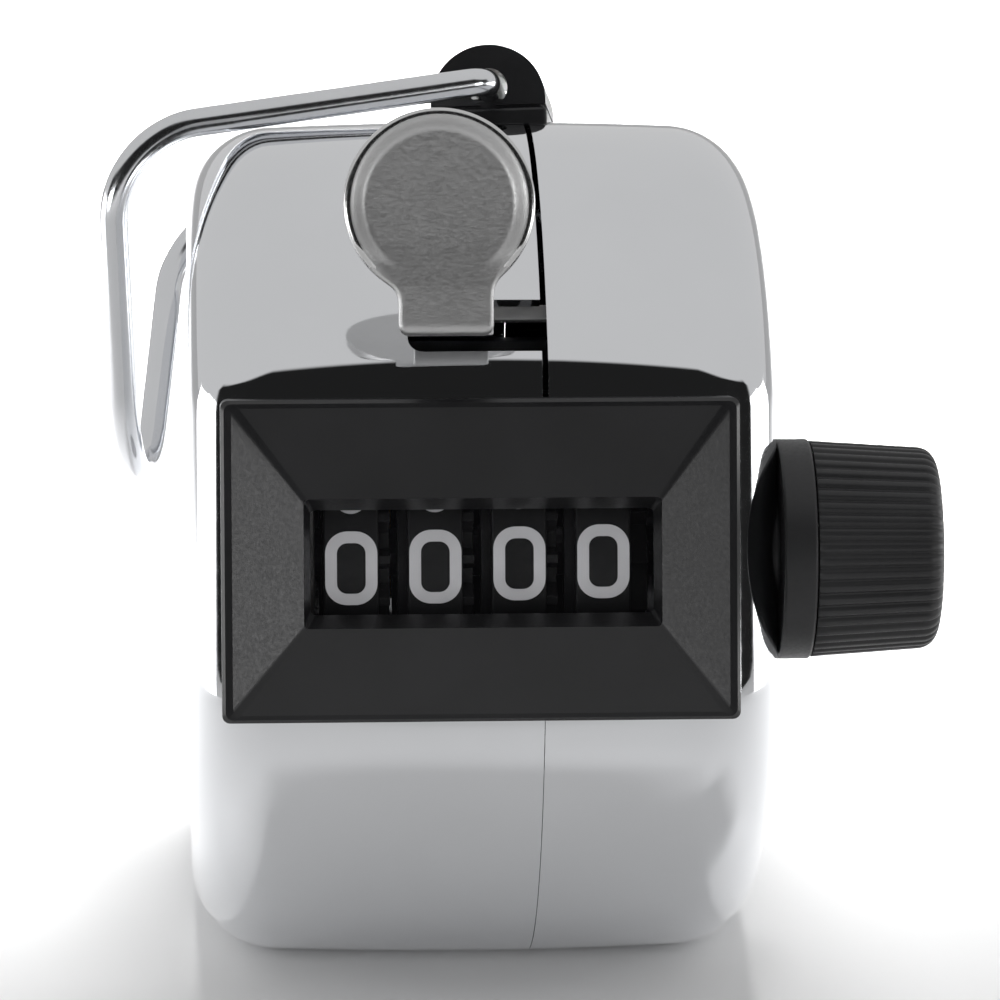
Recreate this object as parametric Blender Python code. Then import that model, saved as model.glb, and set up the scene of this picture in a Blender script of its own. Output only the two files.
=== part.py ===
"""Hand tally counter: a drum-shaped chrome case in two drawn halves, four number wheels behind a window,
a sprung thumb lever with a ratchet pawl, a reset knob on the right and a finger ring on top.

Sizes are in millimetres. Most pieces are drawn in the case's own frame: x across to the right, f forward
through the window and u up along it, with the drum's axis as the origin. That frame leans back by LEAN on
the flat that the case stands on.
"""

import math

import bmesh
import bpy
from mathutils import Matrix, Vector

MM = 0.001
GAP = 0.3  # between neighbouring pieces
LEAN = math.radians(15.0)

# Case
CASE_R = 22.5
CASE_HALF_WIDTH = 15.27
CASE_CORNER = 4.4
CASE_CROWN = 0.46
WALL = 0.6
SEAM_X = 2.9
FOOT_HALF_LENGTH = 6.0
CASE_HEIGHT = math.sqrt(CASE_R**2 - FOOT_HALF_LENGTH**2)
CASE_SEGMENTS = 48
CORNER_STEPS = 3
CUT_F = (CASE_R - 6, CASE_R + 2)  # reach of a tool that cuts the front of the drum
END_CUT = 2.0  # reach of a tool that cuts an end of the drum, each way
BUSH_HOLE_R = 3.2
DOWN = -math.pi / 2 - LEAN  # direction of the flat foot, turned from forward towards up
FLAT_U = (-8.3, 9.85)  # lower and upper edges of the flat front that the window sits on
FLAT_TURNS = tuple(math.asin(u / CASE_R) for u in FLAT_U)
FLAT_TURN = sum(FLAT_TURNS) / 2
FLAT_REACH = CASE_R * math.cos(FLAT_TURNS[1] - FLAT_TURN)

# Window
WINDOW_X = -0.4
BEZEL_SIZE = (26.4, 16.4)
FACET_SIZE = (25.3, 15.6)
OPENING_SIZE = (18.1, 6.55)
OPENING_INNER = (17.4, 5.3)
RECESS_SIZE = (20.6, 8.6)
PLUG_SIZE = (24.2, 14.2)
PLUG_BORE = (20.9, 13.0)
LENS_SIZE = (20.0, 8.0)
RIM_F = 22.9
FRONT_F = 24.9
SHELF_F = 23.6
LENS_F = (22.6, 23.3)
PLUG_F = (20.3, 21.6)
RIM_CHAMFER = (0.3, 0.2)  # across both sides, and forward

# Number wheels on the main shaft, pinions behind them
SHAFT_F = 14.6
SHAFT_R = 1.25
WHEEL_R = 7.5
WHEEL_PITCH = 4.28
WHEEL_HALF_WIDTH = 1.4
WHEEL_CHAMFER = 0.15
HUB_R = 2.8
WEB_HALF = 0.5
RIM_INNER_R = 6.3
STACK_X = -0.57
WHEEL_SEGMENTS = 24
PINION_F = 5.5
PINION_SHAFT_R = 0.8
GEAR_TEETH = 20
GEAR_R = (7.0, 5.75, 5.2)  # tip, root and bore
GEAR_SHARES = (0.2, 0.56)
GEAR_WIDTH = 0.6
PINION_TEETH = 8
PINION_R = (3.1, 1.85)
PINION_SHARES = (0.18, 0.56)
PINION_CLEAR = 0.15
CARRY_WIDTH = 0.48
CARRY_R = 5.5
CARRY_DEPTH = 1.0
RATCHET_TEETH = 10
RATCHET_R = (3.0, 4.4)
RATCHET_X = (7.5, 8.4)
RATCHET_BORE_R = 2.1
BOSS_R = 2.6
RATCHET_FACE = math.radians(102.2)  # where a tooth's pushed face stands, from forward towards up

# Thumb lever
PIVOT = (17.9, -8.4)
PIVOT_R = 0.7
TONGUE_R = 20.87
TONGUE_THICK = 0.8
LEVER_FRONT = (23.05, 24.1)
PAD_X = -2.46
PAD_U = 18.1
PAD_R = 4.85
NECK_X = (-4.55, 0.27)
LEG_X = 9.2
LEG_THICK = 0.8
LEG_HALF_WIDTH = 1.2
LEG_PATH = (PIVOT, (19.1, -2.0), (19.1, 3.5), (18.5, 6.5), (16.2, 11.95))
EYE_R = 1.7
TONGUE_TURNS = (math.radians(-7.0), math.radians(15.0))  # about the pivot, from straight up
BRIDGE_TURNS = (math.radians(-7.5), math.radians(-2.5))
SLOT_X = -3.96
SLOT_U = (10.56, 13.15)

# Pawl
PAWL_PIVOT = (19.0, 5.4)
PAWL_TIP = (14.34, 3.84)
PAWL_X = (7.55, 8.35)
PAWL_PIN_R = 0.5
PAWL_EYE_R = 1.3
PAWL_BOSS_R = 1.5
PAWL_HOOK = (  # (along, out) from its tip towards its pivot
    (-0.25, 0.0), (0.25, 0.0), (0.45, 0.8), (1.0, 1.05), (4.0, 0.7),
    (4.6, -0.6), (5.2, 1.0), (3.8, 1.9), (0.6, 2.1), (-0.1, 1.5),
)
LEAF_PATH = ((11.6, -9.6), (12.9, -7.0), (13.6, -4.95))
LEAF_HALF_THICK = 0.2
COIL_R = 1.18
COIL_WIRE_R = 0.18
COIL_START_X = -7.6
COIL_PITCH = 0.6
COIL_TURNS = 4.25
COIL_STEPS = 14

# Frame
PLATE_X = (10.2, 11.0)
PLATE_R = 21.3
PLATE_FRONT = 19.3
POSTS = {"spacer_rear_upper": (-14.0, 9.0), "spacer_rear_lower": (-14.0, -9.0), "spacer_front": (8.5, -13.5)}
POST_R = 1.5
POST_END_R = 0.8
PLATE_SEGMENTS = 32
LIGHTENING_HOLES = ((-6.5, 10.5, 3.6), (-6.5, -10.5, 3.6))
CORE_R = 1.7
CORE_RIGHT = 14.3
SCREW_R = 0.7
SCREW_DEPTH = 5.0
SCREW_TIP = 0.5  # short of the bottom of its hole
SCREW_HEAD = ((0.0, 2.4), (0.5, 2.2), (0.9, 1.4))  # (along, radius)
SCREW_SLOT_HALF = 0.3
PIN_PROUD = 0.8  # of a shaft or post, past the plate it sits in
PINION_SHAFT_PROUD = 0.6

# Reset knob
COLLAR_R = 5.74
COLLAR_X = 17.05
KNOB_R = (5.64, 5.27)
KNOB_END_X = 24.0
KNOB_FLOOR = 1.6
SPIGOT_R = 2.9
SPIGOT_X = 13.4  # how far in the collar's spigot reaches
CLIP_R = 2.4
NECK_DEPTH = 0.4  # of the clip's groove in the shaft

# Finger ring and its lug
LUG_ANGLE = math.radians(101.5)
LUG_YAW = math.radians(8.0)
LUG_X = 1.6
LUG_R = 3.15
LUG_HALF_LENGTH = 2.75
LUG_CENTRE = 1.1
LUG_FOOT = (2.0, 1.9)  # half its length and width
LUG_FOOT_Q = (-1.5, 1.0)
RING_HOLE = 1.85
WIRE_R = 0.775
RING_ENDS = ((0.5, 0.0, 0.0, 0.0), (4.4, 0.0, 0.0, 1.3), (12.3, 19.4, -4.0, 5.0))  # (s, p, q, corner radius)
RING_BOW = (0.0, 20.1, -26.6, 6.3)

FINISHES = {
    "chrome": ((0.72, 0.73, 0.74), 1.0, 0.08),
    "nickel": ((0.55, 0.55, 0.54), 1.0, 0.35),
    "steel": ((0.45, 0.45, 0.46), 1.0, 0.4),
    "brass": ((0.78, 0.60, 0.28), 1.0, 0.3),
    "black_plastic": ((0.025, 0.025, 0.028), 0.0, 0.35),
    "wheel_plastic": ((0.02, 0.02, 0.02), 0.0, 0.5),
    "clear_plastic": ((0.9, 0.92, 0.94), 0.0, 0.05),
}


# ---- Shared tools -------------------------------------------------------------------------------


def clear_scene():
    for obj in list(bpy.data.objects):
        bpy.data.objects.remove(obj, do_unlink=True)


def point(x, f, u):
    """A place in the case's frame, as a local position in metres."""
    return Vector((x, -f, u)) * MM


def add_object(name, data):
    obj = bpy.data.objects.new(name, data)
    bpy.context.collection.objects.link(obj)
    return obj


def finish_mesh(name, shape):
    """Turns a bmesh into an object whose faces point out."""
    bmesh.ops.recalc_face_normals(shape, faces=shape.faces)
    mesh = bpy.data.meshes.new(name)
    shape.to_mesh(mesh)
    shape.free()
    return add_object(name, mesh)


def bridge(shape, first, second):
    """Faces between two rings of vertices, where a ring of one vertex is a pole."""
    count = max(len(first), len(second))
    for i in range(count):
        j = (i + 1) % count
        corners = [first[i % len(first)], first[j % len(first)]]
        corners += [second[j % len(second)], second[i % len(second)]]
        shape.faces.new(list(dict.fromkeys(corners)))


def loft(name, loops, closed=False):
    """A solid through loops of positions. It is capped at both ends, or joined end to end when closed."""
    shape = bmesh.new()
    rings = [[shape.verts.new(place) for place in loop] for loop in loops]
    for first, second in zip(rings, rings[1:]):
        bridge(shape, first, second)
    if closed:
        bridge(shape, rings[-1], rings[0])
    else:
        for ring in (rings[0], rings[-1]):
            if len(ring) > 2:
                shape.faces.new(ring)
    return finish_mesh(name, shape)


def in_triangles(obj):
    """Splits faces that aren't flat, so that a cut meets the same surface everywhere."""
    shape = bmesh.new()
    shape.from_mesh(obj.data)
    bmesh.ops.triangulate(shape, faces=shape.faces)
    shape.to_mesh(obj.data)
    shape.free()
    return obj


def prism(name, outline, x_low, x_high):
    """An (f, u) outline carried along x."""
    return loft(name, [[point(x, f, u) for f, u in outline] for x in (x_low, x_high)])


def turned(name, profile, place, segments, closed=True):
    """(along, radius) points turned about the X axis of a placing matrix."""
    loops = []
    for along, radius in profile:
        if radius == 0:
            loops.append([place @ (Vector((along, 0, 0)) * MM)])
            continue
        angles = [2 * math.pi * i / segments for i in range(segments)]
        spots = [Vector((along, -radius * math.cos(a), radius * math.sin(a))) for a in angles]
        loops.append([place @ (spot * MM) for spot in spots])
    return loft(name, loops, closed)


def on_axis(f, u):
    """The placing matrix of a piece turned about an axis across the case."""
    return Matrix.Translation(point(0, f, u))


def rod(name, f, u, radius, x_low, x_high, segments=16):
    profile = [(x_low, 0), (x_low, radius), (x_high, radius), (x_high, 0)]
    return turned(name, profile, on_axis(f, u), segments, closed=False)


def tube(name, f, u, inner, outer, x_low, x_high, segments=16):
    profile = [(x_low, inner), (x_low, outer), (x_high, outer), (x_high, inner)]
    return turned(name, profile, on_axis(f, u), segments)


def rounded_rectangle(size, radius, steps=2):
    """(across, up) points of a rounded rectangle about the window's centre."""
    points = []
    for corner in range(4):
        side_x = 1 if corner in (0, 3) else -1
        side_u = 1 if corner < 2 else -1
        for step in range(steps + 1):
            angle = math.pi / 2 * (corner + step / steps)
            across = side_x * (size[0] / 2 - radius) + radius * math.cos(angle)
            up = side_u * (size[1] / 2 - radius) + radius * math.sin(angle)
            points.append((WINDOW_X + across, up))
    return points


def framed(size, f, radius=0.4):
    return [point(x, f, u) for x, u in rounded_rectangle(size, radius)]


def box(name, x_range, f_range, u_range):
    (x0, x1), (f0, f1), (u0, u1) = x_range, f_range, u_range
    return prism(name, [(f0, u0), (f1, u0), (f1, u1), (f0, u1)], x0, x1)


def ribbon(path, half_width):
    """The outline of a strip of even width along an (f, u) path."""
    sides = ([], [])
    for i, (f, u) in enumerate(path):
        before = Vector(path[max(i - 1, 0)])
        after = Vector(path[min(i + 1, len(path) - 1)])
        along = (after - before).normalized()
        for side, sign in zip(sides, (1, -1)):
            side.append((f - sign * along.y * half_width, u + sign * along.x * half_width))
    return sides[0] + sides[1][::-1]


def combine(target, other, operation):
    """Adds or cuts another solid, which is used up."""
    modifier = target.modifiers.new(operation.lower(), "BOOLEAN")
    modifier.operation = operation
    modifier.solver = "EXACT"
    modifier.object = other
    graph = bpy.context.evaluated_depsgraph_get()
    mesh = bpy.data.meshes.new_from_object(target.evaluated_get(graph))
    target.modifiers.clear()
    target.data = mesh
    bpy.data.objects.remove(other, do_unlink=True)
    return target


def join(target, *others):
    for other in others:
        combine(target, other, "UNION")
    return target


def cut(target, *others):
    for other in others:
        combine(target, other, "DIFFERENCE")
    return target


def make_materials():
    made = {}
    for name, (colour, metallic, roughness) in FINISHES.items():
        material = bpy.data.materials.new(name)
        material.use_nodes = True
        shader = material.node_tree.nodes["Principled BSDF"]
        shader.inputs["Base Color"].default_value = (*colour, 1.0)
        shader.inputs["Metallic"].default_value = metallic
        shader.inputs["Roughness"].default_value = roughness
        made[name] = material
    made["clear_plastic"].node_tree.nodes["Principled BSDF"].inputs["Transmission Weight"].default_value = 1.0
    return made


def settle(obj, axis_empty, material, pivot=None):
    """Gives a piece its material and parent, with its origin on its pivot when it has one."""
    if pivot is not None:
        obj.data.transform(Matrix.Translation(-pivot))
        obj.location = pivot
    obj.parent = axis_empty
    obj.data.materials.clear()
    obj.data.materials.append(material)
    if obj.type == "MESH":
        obj.data.shade_smooth()
        obj.data.set_sharp_from_angle(angle=math.radians(35))
    return obj


# ---- Case ---------------------------------------------------------------------------------------


def crown_drop(x):
    return CASE_CROWN * (x / CASE_HALF_WIDTH) ** 2


def end_profile(side, x_stop, offset, steps=4):
    """(x, r) from the middle of one end of the case, round its corner and on to x_stop."""
    corner_x = CASE_HALF_WIDTH - CASE_CORNER
    corner = CASE_CORNER + offset
    points = [(side * (CASE_HALF_WIDTH + offset), 0.0)]
    for step in range(CORNER_STEPS + 1):
        angle = math.pi / 2 * step / CORNER_STEPS
        x = corner_x + corner * math.cos(angle)
        points.append((side * x, CASE_R - CASE_CORNER + corner * math.sin(angle) - crown_drop(x)))
    for step in range(1, steps + 1):
        x = side * corner_x + (x_stop - side * corner_x) * step / steps
        points.append((x, CASE_R + offset - crown_drop(x)))
    return points


def ring_turns():
    """Turns round the drum from its foot, one of them on each edge of the flat front."""
    turns = [DOWN + 2 * math.pi * i / CASE_SEGMENTS for i in range(CASE_SEGMENTS)]
    for edge in FLAT_TURNS:
        nearest = min(range(CASE_SEGMENTS), key=lambda i: abs(turns[i] - edge))
        turns[nearest] = edge
    return turns


def case_ring(x, radius, offset):
    """One section of the drum, flattened at the foot and at the front."""
    if radius == 0:
        return [point(x, 0, 0)]
    flat = FLAT_REACH + radius + crown_drop(x) - CASE_R
    ring = []
    for turn in ring_turns():
        reach = radius
        for distance, facing in ((CASE_HEIGHT + offset, DOWN), (flat, FLAT_TURN)):
            if math.cos(turn - facing) > 0:
                reach = min(reach, distance / math.cos(turn - facing))
        ring.append(point(x, reach * math.cos(turn), reach * math.sin(turn)))
    return ring


def make_half(name, side, x_stop):
    """A drawn cup: outer skin from the end's middle to the rim, and the inner skin back again."""
    outer = [case_ring(x, r, 0.0) for x, r in end_profile(side, x_stop, 0.0)]
    inner = [case_ring(x, r, -WALL) for x, r in end_profile(side, x_stop, -WALL)]
    return in_triangles(loft(name, outer + inner[::-1]))


def case_solid(offset):
    """The whole drum as a solid, for fitting what sits on it."""
    left = [case_ring(x, r, offset) for x, r in end_profile(-1, 0.0, offset)]
    right = [case_ring(x, r, offset) for x, r in end_profile(1, 0.0, offset)]
    return loft("case_solid", left + right[-2::-1])


def window_cutter():
    size = [side + 2 * GAP for side in PLUG_SIZE]
    return loft("window_cutter", [framed(size, f) for f in CUT_F])


def lug_frame():
    """The lug's axes: along it to the rear, to its left, and out of the case; with its place on the case."""
    outward = point(0, math.cos(LUG_ANGLE), math.sin(LUG_ANGLE)).normalized()
    rearward = point(0, -math.sin(LUG_ANGLE), math.cos(LUG_ANGLE)).normalized()
    right = Vector((1, 0, 0))
    along = rearward * math.cos(LUG_YAW) + right * math.sin(LUG_YAW)
    leftward = outward.cross(along)
    base = right * LUG_X * MM + outward * CASE_R * MM
    return along, leftward, outward, base


def lug_point(s, p, q):
    along, leftward, outward, base = lug_frame()
    return base + (along * s + leftward * p + outward * q) * MM


def lug_block(name, half_length, half_width, low, high):
    corners = [(-half_width, low), (half_width, low), (half_width, high), (-half_width, high)]
    return loft(name, [[lug_point(s, p, q) for p, q in corners] for s in (-half_length, half_length)])


def make_case(materials, axis):
    left = make_half("left_shell", -1, SEAM_X)
    right = make_half("right_shell", 1, SEAM_X + GAP)
    for half in (left, right):
        half_length, half_width = (side + GAP for side in LUG_FOOT)
        cut(half, window_cutter(), lug_block("notch", half_length, half_width, -3.0, 2.0))
    cut(left, box("slot", (SLOT_X, SEAM_X + 1), CUT_F, SLOT_U))
    low, high = CASE_HALF_WIDTH - END_CUT, CASE_HALF_WIDTH + END_CUT
    cut(left, rod("post_hole", 0, 0, CORE_R + GAP, -high, -low, 20))
    cut(right, rod("screw_hole", 0, 0, SCREW_R + GAP, low, high))
    cut(right, rod("bush_hole", SHAFT_F, 0, BUSH_HOLE_R, low, high, 24))
    for half in (left, right):
        settle(half, axis, materials["chrome"])


def make_bezel(materials, axis):
    """A low pyramid round the window, its skirt cut to the case, and a plug that the case goes round."""
    back = CUT_F[0]
    across, forward = RIM_CHAMFER
    loops = [
        framed(BEZEL_SIZE, back),
        framed(BEZEL_SIZE, RIM_F - forward),
        framed([side - across for side in BEZEL_SIZE], RIM_F),
        framed(FACET_SIZE, RIM_F),
        framed(OPENING_SIZE, FRONT_F),
        framed(OPENING_INNER, SHELF_F),
        framed(RECESS_SIZE, SHELF_F),
        framed(RECESS_SIZE, back),
    ]
    bezel = loft("window_bezel", loops, closed=True)
    cut(bezel, case_solid(GAP))
    low, high = PLUG_F
    plug = [framed(PLUG_SIZE, low), framed(PLUG_SIZE, high), framed(PLUG_BORE, high), framed(PLUG_BORE, low)]
    join(bezel, loft("plug", plug, closed=True))
    settle(bezel, axis, materials["black_plastic"])
    lens = loft("window_lens", [framed(LENS_SIZE, f) for f in LENS_F])
    settle(lens, axis, materials["clear_plastic"])


def make_lug(materials, axis):
    """Half-round lug with a foot that the two case halves clamp."""
    outline = [(LUG_R, -2.0)]
    steps = 10
    for step in range(steps + 1):
        angle = math.pi * step / steps
        outline.append((LUG_R * math.cos(angle), LUG_CENTRE + LUG_R * math.sin(angle)))
    outline.append((-LUG_R, -2.0))
    loops = [[lug_point(s, p, q) for p, q in outline] for s in (-LUG_HALF_LENGTH, LUG_HALF_LENGTH)]
    lug = loft("ring_lug", loops)
    cut(lug, case_solid(GAP))
    join(lug, lug_block("foot", *LUG_FOOT, *LUG_FOOT_Q))
    hole = []
    for s in (-LUG_HALF_LENGTH - 1, LUG_HALF_LENGTH + 1):
        angles = [2 * math.pi * i / 16 for i in range(16)]
        radius = WIRE_R + GAP
        hole.append([lug_point(s, radius * math.cos(a), RING_HOLE + radius * math.sin(a)) for a in angles])
    cut(lug, loft("hole", hole))
    settle(lug, axis, materials["black_plastic"])


# ---- Frame --------------------------------------------------------------------------------------


def plate_outline():
    """A disc flattened over the foot and behind the window."""
    outline = []
    for i in range(PLATE_SEGMENTS):
        angle = DOWN + 2 * math.pi * i / PLATE_SEGMENTS
        reach = PLATE_R
        foot = math.cos(angle - DOWN)
        if foot > 0:
            reach = min(reach, (CASE_HEIGHT - WALL - GAP) / foot)
        if math.cos(angle) > 0:
            reach = min(reach, PLATE_FRONT / math.cos(angle))
        outline.append((reach * math.cos(angle), reach * math.sin(angle)))
    return outline


def make_frame(materials, axis):
    holes = [
        (SHAFT_F, 0, SHAFT_R + GAP),
        (PINION_F, 0, PINION_SHAFT_R + GAP),
        (*PIVOT, PIVOT_R + GAP),
        (0, 0, CORE_R + GAP),
        *LIGHTENING_HOLES,
    ]
    holes += [(*place, POST_END_R + GAP) for place in POSTS.values()]
    for name, side in (("left_plate", -1), ("right_plate", 1)):
        low, high = sorted(side * x for x in PLATE_X)
        plate = prism(name, plate_outline(), low, high)
        for f, u, radius in holes:
            cut(plate, rod("hole", f, u, radius, low - 1, high + 1, 12))
        settle(plate, axis, materials["steel"])
    shoulder = PLATE_X[0] - GAP
    end = PLATE_X[1] + PIN_PROUD
    for name, (f, u) in POSTS.items():
        profile = [(-end, 0), (-end, POST_END_R), (-shoulder, POST_END_R), (-shoulder, POST_R)]
        profile += [(-x, r) for x, r in profile[::-1]]
        settle(turned(name, profile, on_axis(f, u), 12, closed=False), axis, materials["steel"])


def make_fasteners(materials, axis):
    """The core post, flush in the left half and through both plates, and the screw in its right end."""
    left, right = -CASE_HALF_WIDTH, CORE_RIGHT
    floor = right - SCREW_DEPTH
    profile = [(left, 0), (left, CORE_R), (right, CORE_R), (right, SCREW_R + GAP), (floor, SCREW_R + GAP)]
    profile.append((floor, 0))
    settle(turned("core_post", profile, on_axis(0, 0), 20, closed=False), axis, materials["steel"])
    seat = CASE_HALF_WIDTH + GAP
    tip = floor + SCREW_TIP
    profile = [(tip, 0), (tip, SCREW_R), (seat, SCREW_R), *((seat + x, r) for x, r in SCREW_HEAD)]
    profile.append((seat + SCREW_HEAD[-1][0], 0))
    screw = turned("case_screw", profile, on_axis(0, 0), 20, closed=False)
    slot_half = (-SCREW_SLOT_HALF, SCREW_SLOT_HALF)
    cut(screw, box("slot", (seat + SCREW_HEAD[1][0], seat + 2), (-3, 3), slot_half))
    settle(screw, axis, materials["nickel"])


def make_shafts(materials, axis):
    end = PLATE_X[1] + PINION_SHAFT_PROUD
    settle(rod("pinion_shaft", PINION_F, 0, PINION_SHAFT_R, -end, end, 12), axis, materials["steel"])
    end = PLATE_X[1] + PIN_PROUD
    settle(rod("lever_pivot_pin", *PIVOT, PIVOT_R, -end, end, 12), axis, materials["steel"])


# ---- Number wheels and gears --------------------------------------------------------------------


def toothed_outline(teeth, tip_r, root_r, tip_share, root_share, phase, centre):
    """Straight-sided teeth: each share is the part of a pitch that a tooth takes at its tip or root."""
    outline = []
    pitch = 2 * math.pi / teeth
    for i in range(teeth):
        middle = phase + i * pitch
        rising = ((root_r, -root_share), (tip_r, -tip_share))
        falling = ((tip_r, tip_share), (root_r, root_share))
        for radius, share in rising + falling:
            angle = middle + share * pitch / 2
            outline.append((centre + radius * math.cos(angle), radius * math.sin(angle)))
    return outline


def ratchet_outline():
    """Saw teeth whose steep faces are pushed rearwards over the top."""
    root, tip = RATCHET_R
    outline = []
    pitch = 2 * math.pi / RATCHET_TEETH
    for i in range(RATCHET_TEETH):
        face = RATCHET_FACE + i * pitch
        for radius, angle in ((root, face), (tip, face), ((root + tip) / 2, face + pitch / 2)):
            outline.append((SHAFT_F + radius * math.cos(angle), radius * math.sin(angle)))
    return outline


def wheel_blank(name, x, carries):
    """Rim, web and hub, with the carry ring on the left of every wheel that drives another."""
    bore = SHAFT_R + GAP
    half, web = WHEEL_HALF_WIDTH, WEB_HALF
    shoulder, edge = half - WHEEL_CHAMFER, WHEEL_R - WHEEL_CHAMFER
    rim_r = RIM_INNER_R
    profile = [(half, bore), (half, HUB_R), (web, HUB_R), (web, rim_r), (half, rim_r), (half, edge)]
    profile += [(shoulder, WHEEL_R), (-shoulder, WHEEL_R), (-half, edge), (-half, rim_r), (-web, rim_r)]
    if carries:
        ring = half + CARRY_WIDTH
        inner = CARRY_R - CARRY_DEPTH
        profile += [(-web, CARRY_R), (-ring, CARRY_R), (-ring, inner), (-web, inner)]
    profile += [(-web, HUB_R), (-half, HUB_R), (-half, bore)]
    profile = [(x + along, radius) for along, radius in profile]
    return turned(name, profile, on_axis(SHAFT_F, 0), WHEEL_SEGMENTS)


def make_wheels(materials, axis):
    pivot = point(0, SHAFT_F, 0)
    names = ("thousands_wheel", "hundreds_wheel", "tens_wheel", "units_wheel")
    for i, name in enumerate(names):
        x = STACK_X + (i - 1.5) * WHEEL_PITCH
        wheel = wheel_blank(name, x, carries=i > 0)
        if name == "units_wheel":
            low, high = RATCHET_X
            join(wheel, tube("boss", SHAFT_F, 0, SHAFT_R + GAP + 0.1, BOSS_R, x + 1.0, high - 0.15, 20))
            ratchet = prism("ratchet", ratchet_outline(), low, high)
            cut(ratchet, rod("bore", SHAFT_F, 0, RATCHET_BORE_R, low - 1, high + 1, 20))
            join(wheel, ratchet)
        else:
            edge = x + WHEEL_HALF_WIDTH
            tip_r, root_r, bore_r = GEAR_R
            outline = toothed_outline(GEAR_TEETH, tip_r, root_r, *GEAR_SHARES, 0.0, SHAFT_F)
            gear = prism("gear", outline, edge - 0.2, edge + GEAR_WIDTH)
            cut(gear, rod("bore", SHAFT_F, 0, bore_r, edge - 1, edge + 2, 24))
            join(wheel, gear)
        settle(wheel, axis, materials["wheel_plastic"], pivot)


def make_pinions(materials, axis):
    pivot = point(0, PINION_F, 0)
    names = ("pinion_thousands", "pinion_hundreds", "pinion_tens")
    half_pitch = math.pi / PINION_TEETH
    for i, name in enumerate(names):
        left = STACK_X + (i - 1.5) * WHEEL_PITCH + WHEEL_HALF_WIDTH + PINION_CLEAR
        right = left + WHEEL_PITCH - 2 * (WHEEL_HALF_WIDTH + PINION_CLEAR)
        outline = toothed_outline(PINION_TEETH, *PINION_R, *PINION_SHARES, half_pitch, PINION_F)
        pinion = prism(name, outline, left, right)
        cut(pinion, rod("bore", PINION_F, 0, PINION_SHAFT_R + GAP, left - 1, right + 1, 12))
        settle(pinion, axis, materials["brass"], pivot)


# ---- Lever, pawl and springs --------------------------------------------------------------------


def tongue_band(start, stop, steps=5):
    """An arc of the tongue about the lever's pivot, between two angles from straight up."""
    inner = TONGUE_R - TONGUE_THICK / 2
    outer = TONGUE_R + TONGUE_THICK / 2
    angles = [start + (stop - start) * i / steps for i in range(steps + 1)]
    outline = [(PIVOT[0] + outer * math.sin(a), PIVOT[1] + outer * math.cos(a)) for a in angles]
    outline += [(PIVOT[0] + inner * math.sin(a), PIVOT[1] + inner * math.cos(a)) for a in angles[::-1]]
    return outline


def thumb_pad():
    """A dished disc with a rounded rim, facing forward."""
    back, front = LEVER_FRONT
    thick = front - back
    profile = [(0, 0), (0, PAD_R - 0.3), (0.3, PAD_R), (thick - 0.3, PAD_R), (thick, PAD_R - 0.35)]
    profile += [(thick - 0.15, PAD_R - 0.8), (thick - 0.45, PAD_R - 2.2), (thick - 0.55, 0)]
    facing = Matrix.Rotation(-math.pi / 2, 4, "Z")
    place = Matrix.Translation(point(PAD_X, back, PAD_U)) @ facing
    return turned("pad", profile, place, 28, closed=False)


def make_lever(materials, axis):
    """A bail: two legs on the pivot pin, a bridge across, a tongue out of the slot, and the thumb pad."""
    back, front = LEVER_FRONT
    side = LEG_X + LEG_THICK / 2
    lever = prism("thumb_lever", tongue_band(*BRIDGE_TURNS), -side, side)
    join(lever, prism("tongue", tongue_band(*TONGUE_TURNS, 8), SLOT_X + GAP, NECK_X[1]))
    neck_low = PIVOT[1] + (TONGUE_R - TONGUE_THICK / 2) * math.cos(TONGUE_TURNS[1]) + 0.02
    neck = box("neck", NECK_X, (back + 0.03, front - 0.04), (neck_low, PAD_U - 3.0))
    join(lever, neck, thumb_pad())
    for leg_side in (-1, 1):
        low, high = sorted(leg_side * (LEG_X + sign * LEG_THICK / 2) for sign in (-1, 1))
        leg = prism("leg", ribbon(LEG_PATH, LEG_HALF_WIDTH), low + 0.01 * leg_side, high + 0.01 * leg_side)
        join(leg, rod("eye", *PIVOT, EYE_R, low, high, 20))
        if leg_side > 0:
            join(leg, rod("boss", *PAWL_PIVOT, PAWL_BOSS_R, low, high, 20))
            cut(leg, rod("pin_hole", *PAWL_PIVOT, PAWL_PIN_R + GAP, low - 1, high + 1, 12))
        cut(leg, rod("hole", *PIVOT, PIVOT_R + GAP, low - 1, high + 1, 12))
        join(lever, leg)
    settle(lever, axis, materials["nickel"], point(0, *PIVOT))
    pin = rod("pawl_pin", *PAWL_PIVOT, PAWL_PIN_R, PAWL_X[0] - 0.3, PLATE_X[0] - GAP, 12)
    settle(pin, axis, materials["steel"], point(0, *PIVOT))


def make_pawl(materials, axis):
    """A hooked pawl on its pin."""
    tip, pivot = Vector(PAWL_TIP), Vector(PAWL_PIVOT)
    along = (pivot - tip).normalized()
    out = Vector((-along.y, along.x))
    outline = [tuple(tip + along * a + out * b) for a, b in PAWL_HOOK]
    pawl = prism("drive_pawl", outline, *PAWL_X)
    join(pawl, rod("eye", *PAWL_PIVOT, PAWL_EYE_R, *PAWL_X, 16))
    cut(pawl, rod("hole", *PAWL_PIVOT, PAWL_PIN_R + GAP, PAWL_X[0] - 1, PAWL_X[1] + 1, 12))
    settle(pawl, axis, materials["steel"], point(0, *PAWL_PIVOT))


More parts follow.
